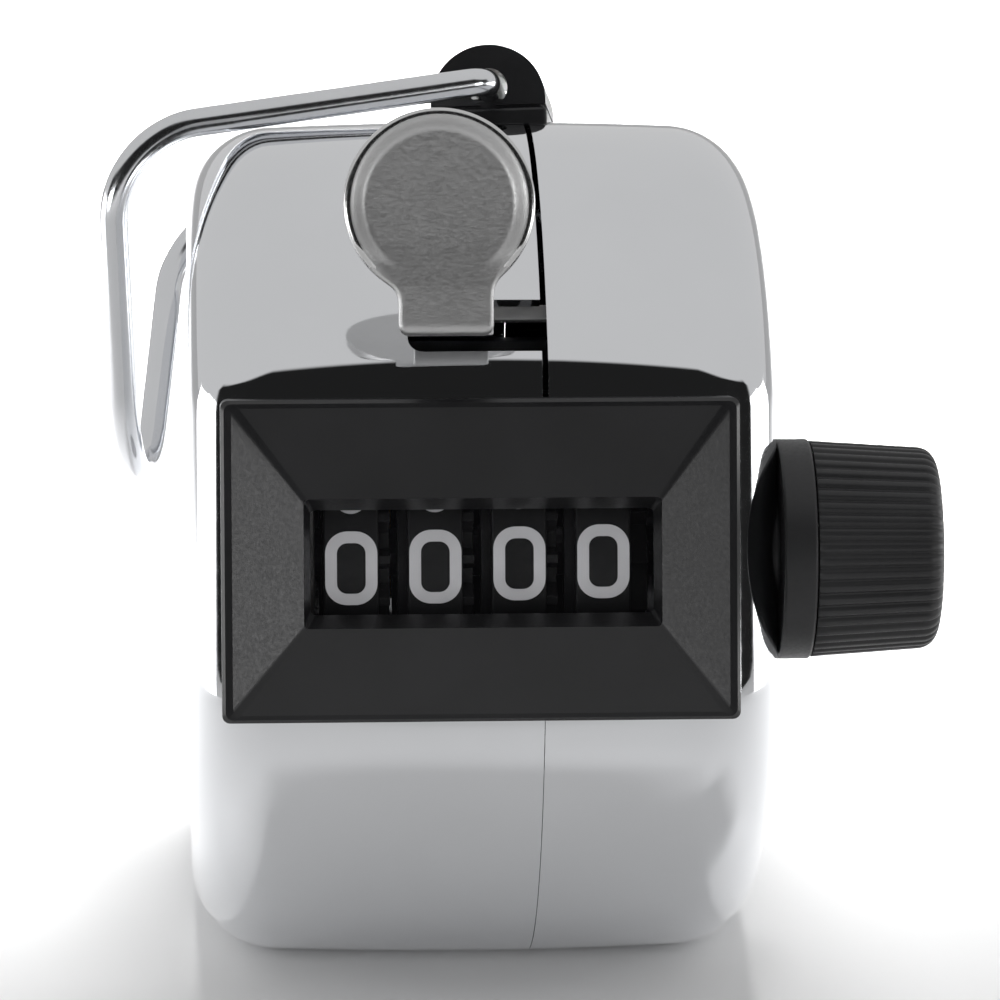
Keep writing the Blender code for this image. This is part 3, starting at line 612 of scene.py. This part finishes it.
def digit_strokes():
    """Each digit as lines down the middle of its strokes. A line that ends where it began is closed."""
    a, b = DIGIT_SIZE[0] / 2, DIGIT_SIZE[1] / 2
    r = 0.84
    top_bowl = b - a
    zero = arc(a - r, b - r, r, r, 0, 90) + arc(-a + r, b - r, r, r, 90, 180)
    zero += arc(-a + r, -b + r, r, r, 180, 270) + arc(a - r, -b + r, r, r, 270, 360)
    lower = b - 0.92
    upper = b - 0.8
    return {
        0: [zero + zero[:1]],
        1: [[(0.1, -b), (0.1, b)], [(0.1, b), (-0.55, b - 0.6)]],
        2: [arc(0, top_bowl, a, a, 165, -30) + [(-a, -b)], [(-a, -b), (a, -b)]],
        3: [arc(-0.05, upper, a, 0.8, 160, -88), arc(-0.05, -lower, a + 0.05, 0.92, 88, -160)],
        4: [[(0.5, -b), (0.5, b)], [(0.5, b), (-a, -0.75)], [(-a, -0.75), (a, -0.75)]],
        5: [[(a - 0.1, b), (-a + 0.15, b)], [(-a + 0.15, b), (-a + 0.05, 0.1)],
            arc(0, -b + 1.0, a, 1.0, 135, -150)],
        6: [arc(0, -b + 1.0, a, 1.0, 0, 360), arc(a, -b + 1.0, 2 * a, 2.1, 180, 104)],
        7: [[(-a, b), (a, b)], [(a, b), (-0.3, -b)]],
        8: [arc(0, upper - 0.02, a - 0.1, 0.82, 0, 360), arc(0, -lower + 0.06, a, 0.98, 0, 360)],
        9: [arc(0, b - 1.0, a, 1.0, 0, 360), arc(0, b - 1.0, a, 2.2, 0, -118)],
    }


def stroke(shape, line, closed, on_rim):
    """A band of even width along a line, with round ends, laid on the rim and given a thin edge."""
    marks = [Vector(p) for p in line]
    line = [marks[0]]
    for start, point in zip(marks, marks[1:]):
        pieces = math.ceil((point - start).length / 0.15)
        line += [start.lerp(point, i / pieces) for i in range(1, pieces + 1)]
    if closed:
        line = line[:-1]
    half = DIGIT_STROKE / 2
    sides = ([], [])
    for i, point in enumerate(line):
        before = line[i - 1] if closed or i else point
        after = line[(i + 1) % len(line)] if closed or i + 1 < len(line) else point
        along = (after - before).normalized()
        across = Vector((-along.y, along.x)) * half
        sides[0].append(point + across)
        sides[1].append(point - across)
    if closed:
        outline = [(side + side[:1]) for side in sides]
    else:
        outline = [list(side) for side in sides]
    top = [shape.add([on_rim(p, DIGIT_THICK) for p in side]) for side in outline]
    low = [shape.add([on_rim(p, -DIGIT_SUNK) for p in side]) for side in outline]
    for i in range(len(top[0]) - 1):
        shape.faces.append([top[0][i], top[0][i + 1], top[1][i + 1], top[1][i]])
        for side in (0, 1):
            shape.faces.append([top[side][i], top[side][i + 1], low[side][i + 1], low[side][i]])
    if closed:
        return
    for end, inner in ((0, 1), (-1, -2)):
        centre = line[end]
        out = (centre - line[inner]).normalized()
        across = Vector((-out.y, out.x))
        turns = [math.pi * i / 10 - math.pi / 2 for i in range(11)]
        cap = [centre + out * half * math.cos(t) + across * half * math.sin(t) for t in turns]
        upper = shape.add([on_rim(p, DIGIT_THICK) for p in cap])
        under = shape.add([on_rim(p, -DIGIT_SUNK) for p in cap])
        shape.faces.append(upper)
        for i in range(10):
            shape.faces.append([upper[i], upper[i + 1], under[i + 1], under[i]])


def make_digits(name, x, zero_angle):
    shape = Shape()
    for digit, lines in digit_strokes().items():
        middle = math.radians(zero_angle - 36.0 * digit)

        def on_rim(p, lift):
            radius = WHEEL_R + lift
            turn = middle + p[1] / WHEEL_R
            return (x + p[0], SHAFT_F + radius * math.cos(turn), radius * math.sin(turn))

        for line in lines:
            closed = (Vector(line[0]) - Vector(line[-1])).length < 1e-6
            stroke(shape, line, closed, on_rim)
    digits = shape.object(f"digits_{name}")
    digits.data.shade_smooth()
    digits.data.set_sharp_from_angle(angle=math.radians(30))
    dress(digits, name, "wheel_plastic", (DIGIT_WHITE,))


def toothed(teeth, tip_r, root_r, tip_share, root_share, phase, centre):
    outline = []
    pitch = 2 * math.pi / teeth
    for i in range(teeth):
        middle = phase + i * pitch
        corners = ((root_r, -root_share), (tip_r, -tip_share), (tip_r, tip_share), (root_r, root_share))
        for radius, share in corners:
            turn = middle + share * pitch / 2
            outline.append((centre + radius * math.cos(turn), radius * math.sin(turn)))
    return outline


def ratchet_outline():
    root, tip = RATCHET_R
    outline = []
    pitch = 2 * math.pi / RATCHET_TEETH
    for i in range(RATCHET_TEETH):
        face = RATCHET_FACE + i * pitch
        for radius, turn in ((root, face), (tip, face), ((root + tip) / 2, face + pitch / 2)):
            outline.append((SHAFT_F + radius * math.cos(turn), radius * math.sin(turn)))
    return outline


def make_wheels():
    for i, name in enumerate(("thousands", "hundreds", "tens", "units")):
        x = STACK_X + (i - 1.5) * WHEEL_PITCH
        half, bore, web = WHEEL_HALF_WIDTH, SHAFT_R + GAP, 0.5
        hub_r, rim_r, edge_r = 2.8, 6.3, WHEEL_R - WHEEL_EDGE
        profile = [(half, bore), (half, hub_r), (web, hub_r), (web, rim_r), (half, rim_r), (half, edge_r)]
        profile += [(half - WHEEL_EDGE, WHEEL_R), (-half + WHEEL_EDGE, WHEEL_R)]
        profile += [(-half, edge_r), (-half, rim_r), (-web, rim_r)]
        if i:
            ring = half + CARRY_WIDTH
            profile += [(-web, CARRY_R), (-ring, CARRY_R), (-ring, CARRY_R - 1.0), (-web, CARRY_R - 1.0)]
        profile += [(-web, hub_r), (-half, hub_r), (-half, bore)]
        shape = Shape().turned([(x + along, radius) for along, radius in profile], SHAFT_F, 0, 120)
        if name == "units":
            low, high = RATCHET_X
            shape.tube(SHAFT_F, 0, bore + 0.1, 2.6, x + 1.0, high - 0.15)
            shape.prism(ratchet_outline(), low, high)
        else:
            edge = x + half
            shape.prism(toothed(GEAR_TEETH, *GEAR_R, 0.2, 0.56, 0.0, SHAFT_F), edge - 0.2, edge + 0.6)
        wheel = soften(shape.object(f"wheel_{name}"), 0.05, 2)
        dress(wheel, name, "wheel_plastic", (WHEEL_BLACK,), f"{name}_wheel")
        make_digits(name, x, ZERO_ANGLES[name])


# ---- Thumb lever --------------------------------------------------------------------------------


def band(start, stop, steps=16):
    """An arc of the tongue about the lever's pivot, between two angles in degrees from straight up."""
    turns = [math.radians(start + (stop - start) * i / steps) for i in range(steps + 1)]
    outline = []
    for radius, order in ((TONGUE_R + TONGUE_THICK / 2, turns), (TONGUE_R - TONGUE_THICK / 2, turns[::-1])):
        outline += [(PIVOT[0] + radius * math.sin(t), PIVOT[1] + radius * math.cos(t)) for t in order]
    return outline


def ribbon(path, half_width):
    sides = ([], [])
    for i, (f, u) in enumerate(path):
        before, after = Vector(path[max(i - 1, 0)]), Vector(path[min(i + 1, len(path) - 1)])
        along = (after - before).normalized()
        for side, sign in zip(sides, (1, -1)):
            side.append((f - sign * along.y * half_width, u + sign * along.x * half_width))
    return sides[0] + sides[1][::-1]


def pad_outline():
    """(x, u) points round the thumb pad and its neck, eased where they meet."""
    low_left, low_right = NECK_X
    start = math.asin((low_right - PAD_X) / PAD_R) - math.pi / 2
    stop = -math.pi / 2 - math.asin((PAD_X - low_left) / PAD_R) + 2 * math.pi
    count = 160
    points = []
    for i in range(count + 1):
        turn = start + (stop - start) * i / count
        points.append((PAD_X + PAD_R * math.cos(turn), PAD_U + PAD_R * math.sin(turn)))
    corner = 0.55
    points += [(low_left, u) for u in spaced([points[-1][1], NECK_LOW + corner], 0.18)[1:]]
    points += arc(low_left + corner, NECK_LOW + corner, corner, corner, 180, 270, 6)[1:]
    points += [(x, NECK_LOW) for x in spaced([low_left + corner, low_right - corner], 0.2)[1:]]
    points += arc(low_right - corner, NECK_LOW + corner, corner, corner, 270, 360, 6)[1:]
    points += [(low_right, u) for u in spaced([NECK_LOW + corner, points[0][1]], 0.18)[1:-1]]
    points = np.array(points)
    joint_u, joint_reach, easing_rounds = 13.9, 1.6, 14
    for _ in range(easing_rounds):
        eased = (np.roll(points, 1, axis=0) + 2 * points + np.roll(points, -1, axis=0)) / 4
        reach = np.minimum(np.abs(points[:, 1] - joint_u) / joint_reach, 1.0)[:, None]
        points = reach * points + (1 - reach) * eased
    return points


def edge_distance(places, outline):
    """How far each place is from the nearest stretch of an outline."""
    start, stop = outline, np.roll(outline, -1, axis=0)
    run = stop - start
    reach = places[:, None, :] - start[None]
    share = np.clip((reach * run).sum(2) / (run**2).sum(1), 0, 1)
    return np.sqrt(((reach - share[..., None] * run) ** 2).sum(2)).min(1)


def pad_front(places, distance):
    """The stamped front of the pad: a round rim, a dish that runs out into the neck, and a stipple."""
    x, u = places.T
    radius = np.hypot(x - PAD_X, u - PAD_U)
    rim_crest, wall_foot = 0.3, 1.15
    dish_depth, dish_rise, neck_depth = 0.62, 0.12, 0.30
    neck = smoothstep(PAD_U - u, 2.0, 4.4)
    rim = (1 - smoothstep(distance, rim_crest, wall_foot)) * (1 - neck)
    bowl = dish_depth - dish_rise * np.clip(radius / PAD_R, 0, 1) ** 2
    level = PAD_FRONT - bowl * (1 - rim) * (1 - neck) - neck_depth * neck
    rounding = 0.24
    inside = np.clip(distance / rounding, 0, 1)
    level -= rounding * (1 - np.sqrt(1 - (1 - inside) ** 2))
    fold = 0.62
    below = np.clip(1 - (u - NECK_LOW) / fold, 0, 1)
    level -= (fold - 0.2) * (1 - np.sqrt(1 - below**2))
    strength = smoothstep(distance, 0.6, 1.2) * (1 - 0.75 * smoothstep(PAD_U - u, -1.0, 4.5))
    grain = np.array([noise.noise(Vector((px * 3.2, pu * 6.5, 3.0))) for px, pu in places])
    pits = np.array([noise.noise(Vector((px * 4.4, pu * 9.5, 9.0))) for px, pu in places])
    high = 1 + 0.8 * smoothstep(u - PAD_U, -1.0, 3.5)
    grain_depth, pit_depth = 0.010, 0.022
    level += grain_depth * strength * grain - pit_depth * strength * high * np.maximum(pits - 0.05, 0)
    return level


def make_pad(shape):
    outline = pad_outline()
    rims = [outline]
    centre = np.array([PAD_X, PAD_U])
    for inset in (0.03, 0.08, 0.15, 0.24, 0.34, 0.45):
        run = np.roll(outline, -1, axis=0) - np.roll(outline, 1, axis=0)
        inward = np.stack([-run[:, 1], run[:, 0]], axis=1)
        inward /= np.linalg.norm(inward, axis=1)[:, None]
        rims.append(outline + inward * inset)
    pitch = 0.12
    xs = np.arange(PAD_X - PAD_R, PAD_X + PAD_R, pitch)
    us = np.arange(NECK_LOW, PAD_U + PAD_R, pitch * 0.87)
    lattice = np.array([(x + (pitch / 2 if j % 2 else 0), u) for j, u in enumerate(us) for x in xs])
    in_disc = np.hypot(*(lattice - centre).T) < PAD_R
    in_neck = (lattice[:, 0] > NECK_X[0]) & (lattice[:, 0] < NECK_X[1]) & (lattice[:, 1] < PAD_U - 2)
    lattice = lattice[in_disc | in_neck]
    lattice = lattice[edge_distance(lattice, outline) > 0.5]
    points = np.concatenate([*rims, lattice])
    count = len(outline)
    starts = [ring * count for ring in range(len(rims))]
    edges = [(start + i, start + (i + 1) % count) for start in starts for i in range(count)]
    verts, _, faces, *_ = delaunay_2d_cdt([Vector(p) for p in points], edges, [list(range(count))], 1, 1e-7)
    verts = np.array([tuple(v) for v in verts])
    distance = edge_distance(verts, outline)
    front = pad_front(verts, distance)
    top = shape.add(np.stack([verts[:, 0], front, verts[:, 1]], axis=1))
    back = shape.add(np.stack([verts[:, 0], np.full(len(verts), PAD_BACK), verts[:, 1]], axis=1))
    sides = {}
    polished = []
    for face in faces:
        shape.faces.append([top[i] for i in face])
        shape.faces.append([back[i] for i in face[::-1]])
        near_edge = distance[list(face)].mean() < PAD_RIM
        polished += [bool(near_edge and verts[list(face), 1].mean() > RIM_LOW), False]
        for a, b in zip(face, [*face[1:], face[0]]):
            sides[(a, b)] = True
    for a, b in sides:
        if (b, a) not in sides:
            shape.faces.append([top[b], top[a], back[a], back[b]])
            polished.append(False)
    return polished


def make_lever():
    shape = Shape()
    rim_faces = make_pad(shape)
    pad = shape.object("lever_pad")
    pad.data.shade_smooth()
    pad.data.set_sharp_from_angle(angle=math.radians(60))
    dress(pad, "lever", "nickel", (NICKEL, RIM_NICKEL), "thumb_lever")
    for face, polished in zip(pad.data.polygons, rim_faces):
        face.material_index = int(polished)

    shape = Shape()
    shape.prism(band(*TONGUE_TURNS), SLOT_X + GAP, NECK_X[1])
    side = LEG_X + LEG_THICK / 2
    shape.prism(band(*BRIDGE_TURNS), -side, side)
    path = [(19.1, -2.0), (19.1, 3.5), (18.5, 6.5), (16.2, 11.95)]
    for leg_side in (-1, 1):
        low, high = sorted(leg_side * (LEG_X + sign * LEG_THICK / 2) for sign in (-1, 1))
        shape.prism(ribbon(path, LEG_HALF_WIDTH), low, high)
        shape.prism(ribbon([(18.3, -6.6), *path[:2]], LEG_HALF_WIDTH), low + 0.01, high - 0.01)
        shape.tube(*PIVOT, 1.0, 1.9, low, high)
    frame_part = soften(shape.object("lever_frame"), 0.12, 3)
    dress(frame_part, "lever", "nickel", (NICKEL,))


# ---- Reset knob ---------------------------------------------------------------------------------


def make_knob():
    segments = 128
    bore = SHAFT_R + GAP
    seat = CASE_HALF_WIDTH + 0.04
    profile = [(seat, BUSH_HOLE_R - GAP), (seat, COLLAR_R), (COLLAR_X, COLLAR_R), (COLLAR_X, bore)]
    profile += [(CASE_HALF_WIDTH - 2, bore), (CASE_HALF_WIDTH - 2, BUSH_HOLE_R - GAP)]
    collar = soften(Shape().turned(profile, SHAFT_F, 0, segments).object("reset_collar"), 0.18, 4)
    dress(collar, "case", "black_plastic", (KNOB_BLACK,), "reset_bush")

    near, far = KNOB_R
    start = COLLAR_X + KNOB_GAP
    round_r = 1.0
    dish_depth = 0.18
    ring = 16 * KNOB_RIBS
    profile = [(start, bore, 0.0), (start, near - 0.35, 0.0)]
    profile += [(start, near - 0.04, 1.0), (start + 0.04, near, 1.0)]
    for i in range(1, 9):
        share = i / 8
        x = start + (KNOB_END_X - round_r - start) * share
        profile.append((x, near + (far - near) * share, 1.0))
    for i in range(1, 9):
        turn = math.pi / 2 * i / 8
        x = KNOB_END_X - round_r + round_r * math.sin(turn)
        profile.append((x, far - round_r + round_r * math.cos(turn), math.cos(turn) ** 0.5 if i < 8 else 0.0))
    profile.append((KNOB_END_X, far - round_r - 0.6, 0.0))
    profile.append((KNOB_END_X - dish_depth, far - round_r - 0.95, 0.0))
    loops = []
    for x, radius, depth in profile:
        loop = []
        for i in range(ring):
            turn = 2 * math.pi * i / ring
            groove = (0.5 + 0.5 * math.cos(KNOB_RIBS * turn)) ** 2.2
            reach = radius - RIB_DEPTH * depth * groove
            loop.append((x, SHAFT_F + reach * math.cos(turn), reach * math.sin(turn)))
        loops.append(loop)
    loops.append([(KNOB_END_X - dish_depth, SHAFT_F, 0)])
    knob = Shape().loft(loops).object("knob_ribbed")
    knob.data.shade_smooth()
    knob.data.set_sharp_from_angle(angle=math.radians(50))
    dress(knob, "knob", "black_plastic", (KNOB_BLACK,), "reset_knob")


def make_screw():
    seat = CASE_HALF_WIDTH + GAP
    shank_length, shank_r = 3.0, 0.7
    head_r, edge, crown = 2.4, 0.25, 0.65
    profile = [(seat - shank_length, 0), (seat - shank_length, shank_r), (seat, shank_r)]
    profile += [(seat, head_r), (seat + edge, head_r)]
    for i in range(1, 9):
        turn = math.pi / 2 * i / 8
        profile.append((seat + edge + crown * math.sin(turn), head_r * math.cos(turn) if i < 8 else 0))
    screw = Shape().turned(profile, 0, 0, 72, closed=False).object("end_screw")
    groove = Shape().prism([(-0.3, -3), (0.3, -3), (0.3, 3), (-0.3, 3)], seat + 0.45, seat + 2)
    cut(screw, groove.object("groove"))
    soften(screw, 0.05, 2)
    dress(screw, "case", "nickel", (NICKEL,), "case_screw")


# ---- Lug and finger ring ------------------------------------------------------------------------


def lug_point(s, p, q):
    """A place on the lug: s to the rear along it, p to its left, q out of the case."""
    cos_a, sin_a = math.cos(LUG_ANGLE), math.sin(LUG_ANGLE)
    cos_y, sin_y = math.cos(LUG_YAW), math.sin(LUG_YAW)
    along = np.array((sin_y, -sin_a * cos_y, cos_a * cos_y))
    leftward = np.array((-cos_y, -sin_a * sin_y, cos_a * sin_y))
    outward = np.array((0, cos_a, sin_a))
    base = np.array((LUG_X, CASE_R * cos_a, CASE_R * sin_a))
    return base + along * s + leftward * p + outward * q


def lug_prism(shape, outline, half_length):
    return shape.loft([[lug_point(s, p, q) for p, q in outline] for s in (-half_length, half_length)])


def make_lug():
    steps = 48
    collar = 0.85
    outline = [(LUG_R, collar)]
    for i in range(steps + 1):
        turn = math.pi * i / steps
        outline.append((LUG_R * math.cos(turn), LUG_CENTRE + LUG_R * math.sin(turn)))
    outline.append((-LUG_R, collar))
    body = lug_prism(Shape(), outline, LUG_HALF_LENGTH).object("lug_body")
    radius = WIRE_R + GAP
    hole = Shape()
    rings = []
    for s in (-LUG_HALF_LENGTH - 1, LUG_HALF_LENGTH + 1):
        turns = [2 * math.pi * i / 48 for i in range(48)]
        rings.append([lug_point(s, radius * math.cos(t), RING_HOLE + radius * math.sin(t)) for t in turns])
    cut(body, hole.loft(rings).object("hole"))
    soften(body, 0.3, 5)
    dress(body, "case", "black_plastic", (BLACK,), "ring_lug")

    foot = Shape()
    wide, narrow = LUG_R + 0.05, LUG_R - 0.22
    low, high = -0.45, collar - 0.12
    base = [(wide, low), (wide, high), (-wide, high), (-wide, low)]
    lug_prism(foot, base, LUG_HALF_LENGTH + 0.05)
    low, high = 0.2, 1.3
    core = [(narrow, low), (narrow, high), (-narrow, high), (-narrow, low)]
    lug_prism(foot, core, LUG_HALF_LENGTH - 0.2)
    foot = soften(foot.object("lug_foot"), 0.25, 4)
    dress(foot, "case", "black_plastic", (BLACK,))


def fillet_path(corners, steps):
    """Straight runs through (place, radius) corners, each turned by an arc of its own radius."""
    places = [corners[0][0]]
    for (before, _), (corner, radius), (after, _) in zip(corners, corners[1:], corners[2:]):
        back = (before - corner).normalized()
        on = (after - corner).normalized()
        half = back.angle(on) / 2
        middle = corner + (back + on).normalized() * radius / math.sin(half)
        start = corner + back * radius / math.tan(half) - middle
        axis = start.cross(corner + on * radius / math.tan(half) - middle).normalized()
        sweep = math.pi - 2 * half
        places += [middle + Matrix.Rotation(sweep * i / steps, 3, axis) @ start for i in range(steps + 1)]
    places.append(corners[-1][0])
    return places


def make_ring():
    corners = [(-1, *corner) for corner in RING_HALF]
    corners += [(1, *RING_FAR)] + [(1, *corner) for corner in RING_HALF[::-1]]
    path = fillet_path([(Vector((side * s, p, q)), radius) for side, s, p, q, radius in corners], 24)
    places = world([lug_point(s, p, RING_HOLE + q) for s, p, q in path])
    curve = bpy.data.curves.new("finger_ring", "CURVE")
    curve.dimensions = "3D"
    curve.bevel_depth = WIRE_R * MM
    curve.bevel_resolution = 14
    curve.use_fill_caps = True
    spline = curve.splines.new("POLY")
    spline.points.add(len(places) - 1)
    for spot, place in zip(spline.points, places):
        spot.co = (*place, 1.0)
    holder = add_object("wire", curve)
    graph = bpy.context.evaluated_depsgraph_get()
    ring = add_object("ring", bpy.data.meshes.new_from_object(holder.evaluated_get(graph)))
    bpy.data.objects.remove(holder, do_unlink=True)
    ring.data.shade_smooth()
    ring.data.set_sharp_from_angle(angle=math.radians(50))
    dress(ring, "ring", "ring_chrome", (WIRE_CHROME,), "finger_ring")


# ---- Kept solids --------------------------------------------------------------------------------


KEPT = (
    (BRASS, ("pinion_tens", "pinion_hundreds", "pinion_thousands")),
    (STEEL, (
        "left_plate", "right_plate", "spacer_rear_upper", "spacer_rear_lower", "spacer_front", "core_post",
        "pinion_shaft", "lever_pivot_pin", "detent_spring", "return_spring", "pawl_pin", "drive_pawl",
        "main_shaft", "shaft_clip",
    )),
)


def dress_kept():
    """Gives the inner solids that are kept as they are their metal."""
    for material, nodes in KEPT:
        for node in nodes:
            data = frame["nodes"][node].data
            data.materials.clear()
            data.materials.append(material)


# ---- Studio -------------------------------------------------------------------------------------


TENT_LIGHT = 0.6
OPENING_LIGHT = 0.014


def make_floor():
    """A wide pale sheet under the foot."""
    level = CAD_BOX[0][2]
    half = 3.0
    mesh = bpy.data.meshes.new("floor")
    corners = [(-half, -half, level), (half, -half, level), (half, half, level), (-half, half, level)]
    mesh.from_pydata(corners, [], [(0, 1, 2, 3)])
    floor = add_object("floor", mesh)
    paper = finish("floor_paper", (0.80, 0.80, 0.80), 0.0, 0.8, 1.5, 0.01, 0.05, wear_grain=60.0)
    floor.data.materials.append(paper)


def softbox(name, place, target, size, brightness, in_gloss=True, spread=180.0, in_diffuse=True):
    """A rectangular light that looks evenly bright, whatever its size, and is never seen itself."""
    light = bpy.data.lights.new(name, "AREA")
    light.shape = "RECTANGLE"
    light.size, light.size_y = size
    light.energy = brightness * math.pi * size[0] * size[1]
    light.spread = math.radians(spread)
    lamp = add_object(name, light)
    lamp.location = place
    lamp.rotation_euler = (Vector(target) - Vector(place)).to_track_quat("-Z", "Y").to_euler()
    lamp.visible_camera = False
    lamp.visible_glossy = in_gloss
    lamp.visible_diffuse = in_diffuse


def make_sky():
    """A grey tent over the object and behind it, open and dark towards the front, lower at its sides."""
    sky = bpy.data.worlds.new("studio")
    bpy.context.scene.world = sky
    sky.use_nodes = True
    nodes, links = sky.node_tree.nodes, sky.node_tree.links

    def math_node(operation, first, second):
        node = nodes.new("ShaderNodeMath")
        node.operation = operation
        for socket, value in zip(node.inputs, (first, second)):
            if isinstance(value, float):
                socket.default_value = value
            else:
                links.new(value, socket)
        return node.outputs[0]

    def ramp(value, start, stop):
        node = nodes.new("ShaderNodeMapRange")
        node.interpolation_type = "SMOOTHSTEP"
        node.inputs["From Min"].default_value = start
        node.inputs["From Max"].default_value = stop
        links.new(value, node.inputs["Value"])
        return node.outputs["Result"]

    place = nodes.new("ShaderNodeTexCoord")
    split = nodes.new("ShaderNodeSeparateXYZ")
    links.new(place.outputs["Generated"], split.inputs["Vector"])
    x, y, z = (split.outputs[axis] for axis in "XYZ")
    level = math_node("SQRT", math_node("ADD", math_node("MULTIPLY", x, x), math_node("MULTIPLY", y, y)), 0.0)
    ahead = math_node("DIVIDE", math_node("MULTIPLY", y, -1.0), level)
    front = ramp(ahead, math.cos(math.radians(87)), math.cos(math.radians(82)))
    side_top, rise, blur = 0.35, 0.5, 0.055
    top = math_node("ADD", side_top, math_node("MULTIPLY", rise, math_node("MULTIPLY", ahead, ahead)))
    below = math_node("SUBTRACT", 1.0, ramp(math_node("SUBTRACT", z, top), -blur, blur))
    dark = math_node("MULTIPLY", front, below)
    unseen = nodes.new("ShaderNodeLightPath")
    dark = math_node("MULTIPLY", dark, math_node("SUBTRACT", 1.0, unseen.outputs["Is Camera Ray"]))
    strength = math_node("ADD", TENT_LIGHT, math_node("MULTIPLY", dark, OPENING_LIGHT - TENT_LIGHT))
    links.new(strength, nodes["Background"].inputs["Strength"])
    nodes["Background"].inputs["Color"].default_value = (1.0, 1.0, 1.0, 1.0)


def make_studio():
    make_sky()
    softbox("left_card", (-0.13, 0.017, 0.022), (0, 0.017, 0.022), (0.09, 0.044), 2.6)
    softbox("right_card", (0.13, 0.017, 0.022), (0, 0.017, 0.022), (0.09, 0.044), 2.6)
    softbox("left_box", (-0.40, -0.32, 0.055), (0, 0, 0.03), (0.24, 0.09), 6.0, in_diffuse=False)
    softbox("right_box", (0.40, -0.32, 0.055), (0, 0, 0.03), (0.20, 0.09), 4.5, in_diffuse=False)
    softbox("rear_box", (0.0, 0.17, 0.30), (0, 0.15, 0.0), (0.10, 0.18), 9.0, False, 48.0)
    softbox("front_fill", (-0.05, -0.55, 0.19), (0, 0, 0.03), (0.30, 0.30), 4.2, False)
    bpy.context.scene.view_settings.view_transform = "Standard"


def make_camera():
    """Along the window's normal to within a few degrees, a little left of the middle."""
    elevation = math.radians(18.0)
    yaw, pitch, roll = 0.048, -0.003, -0.008
    left, distance, lift = -14.5, 336.5, 0.93
    tilt = Matrix.Rotation(-elevation, 4, "X")
    place = AXIS + tilt.to_3x3() @ (Vector((left, -distance, lift)) * MM)
    turn = Matrix.Rotation(-yaw, 4, "Z") @ Matrix.Rotation(math.pi / 2 - pitch, 4, "X")
    turn = turn @ Matrix.Rotation(roll, 4, "Z")
    camera = bpy.data.cameras.new("camera")
    camera.sensor_width = 36.0
    camera.lens = 222.7
    camera.clip_start = 0.01
    view = add_object("camera", camera)
    view.matrix_world = Matrix.Translation(place) @ tilt @ turn
    bpy.context.scene.camera = view


make_camera()
make_studio()
make_floor()
make_case()
make_window()
make_wheels()
make_lever()
make_knob()
make_screw()
make_lug()
make_ring()
dress_kept()
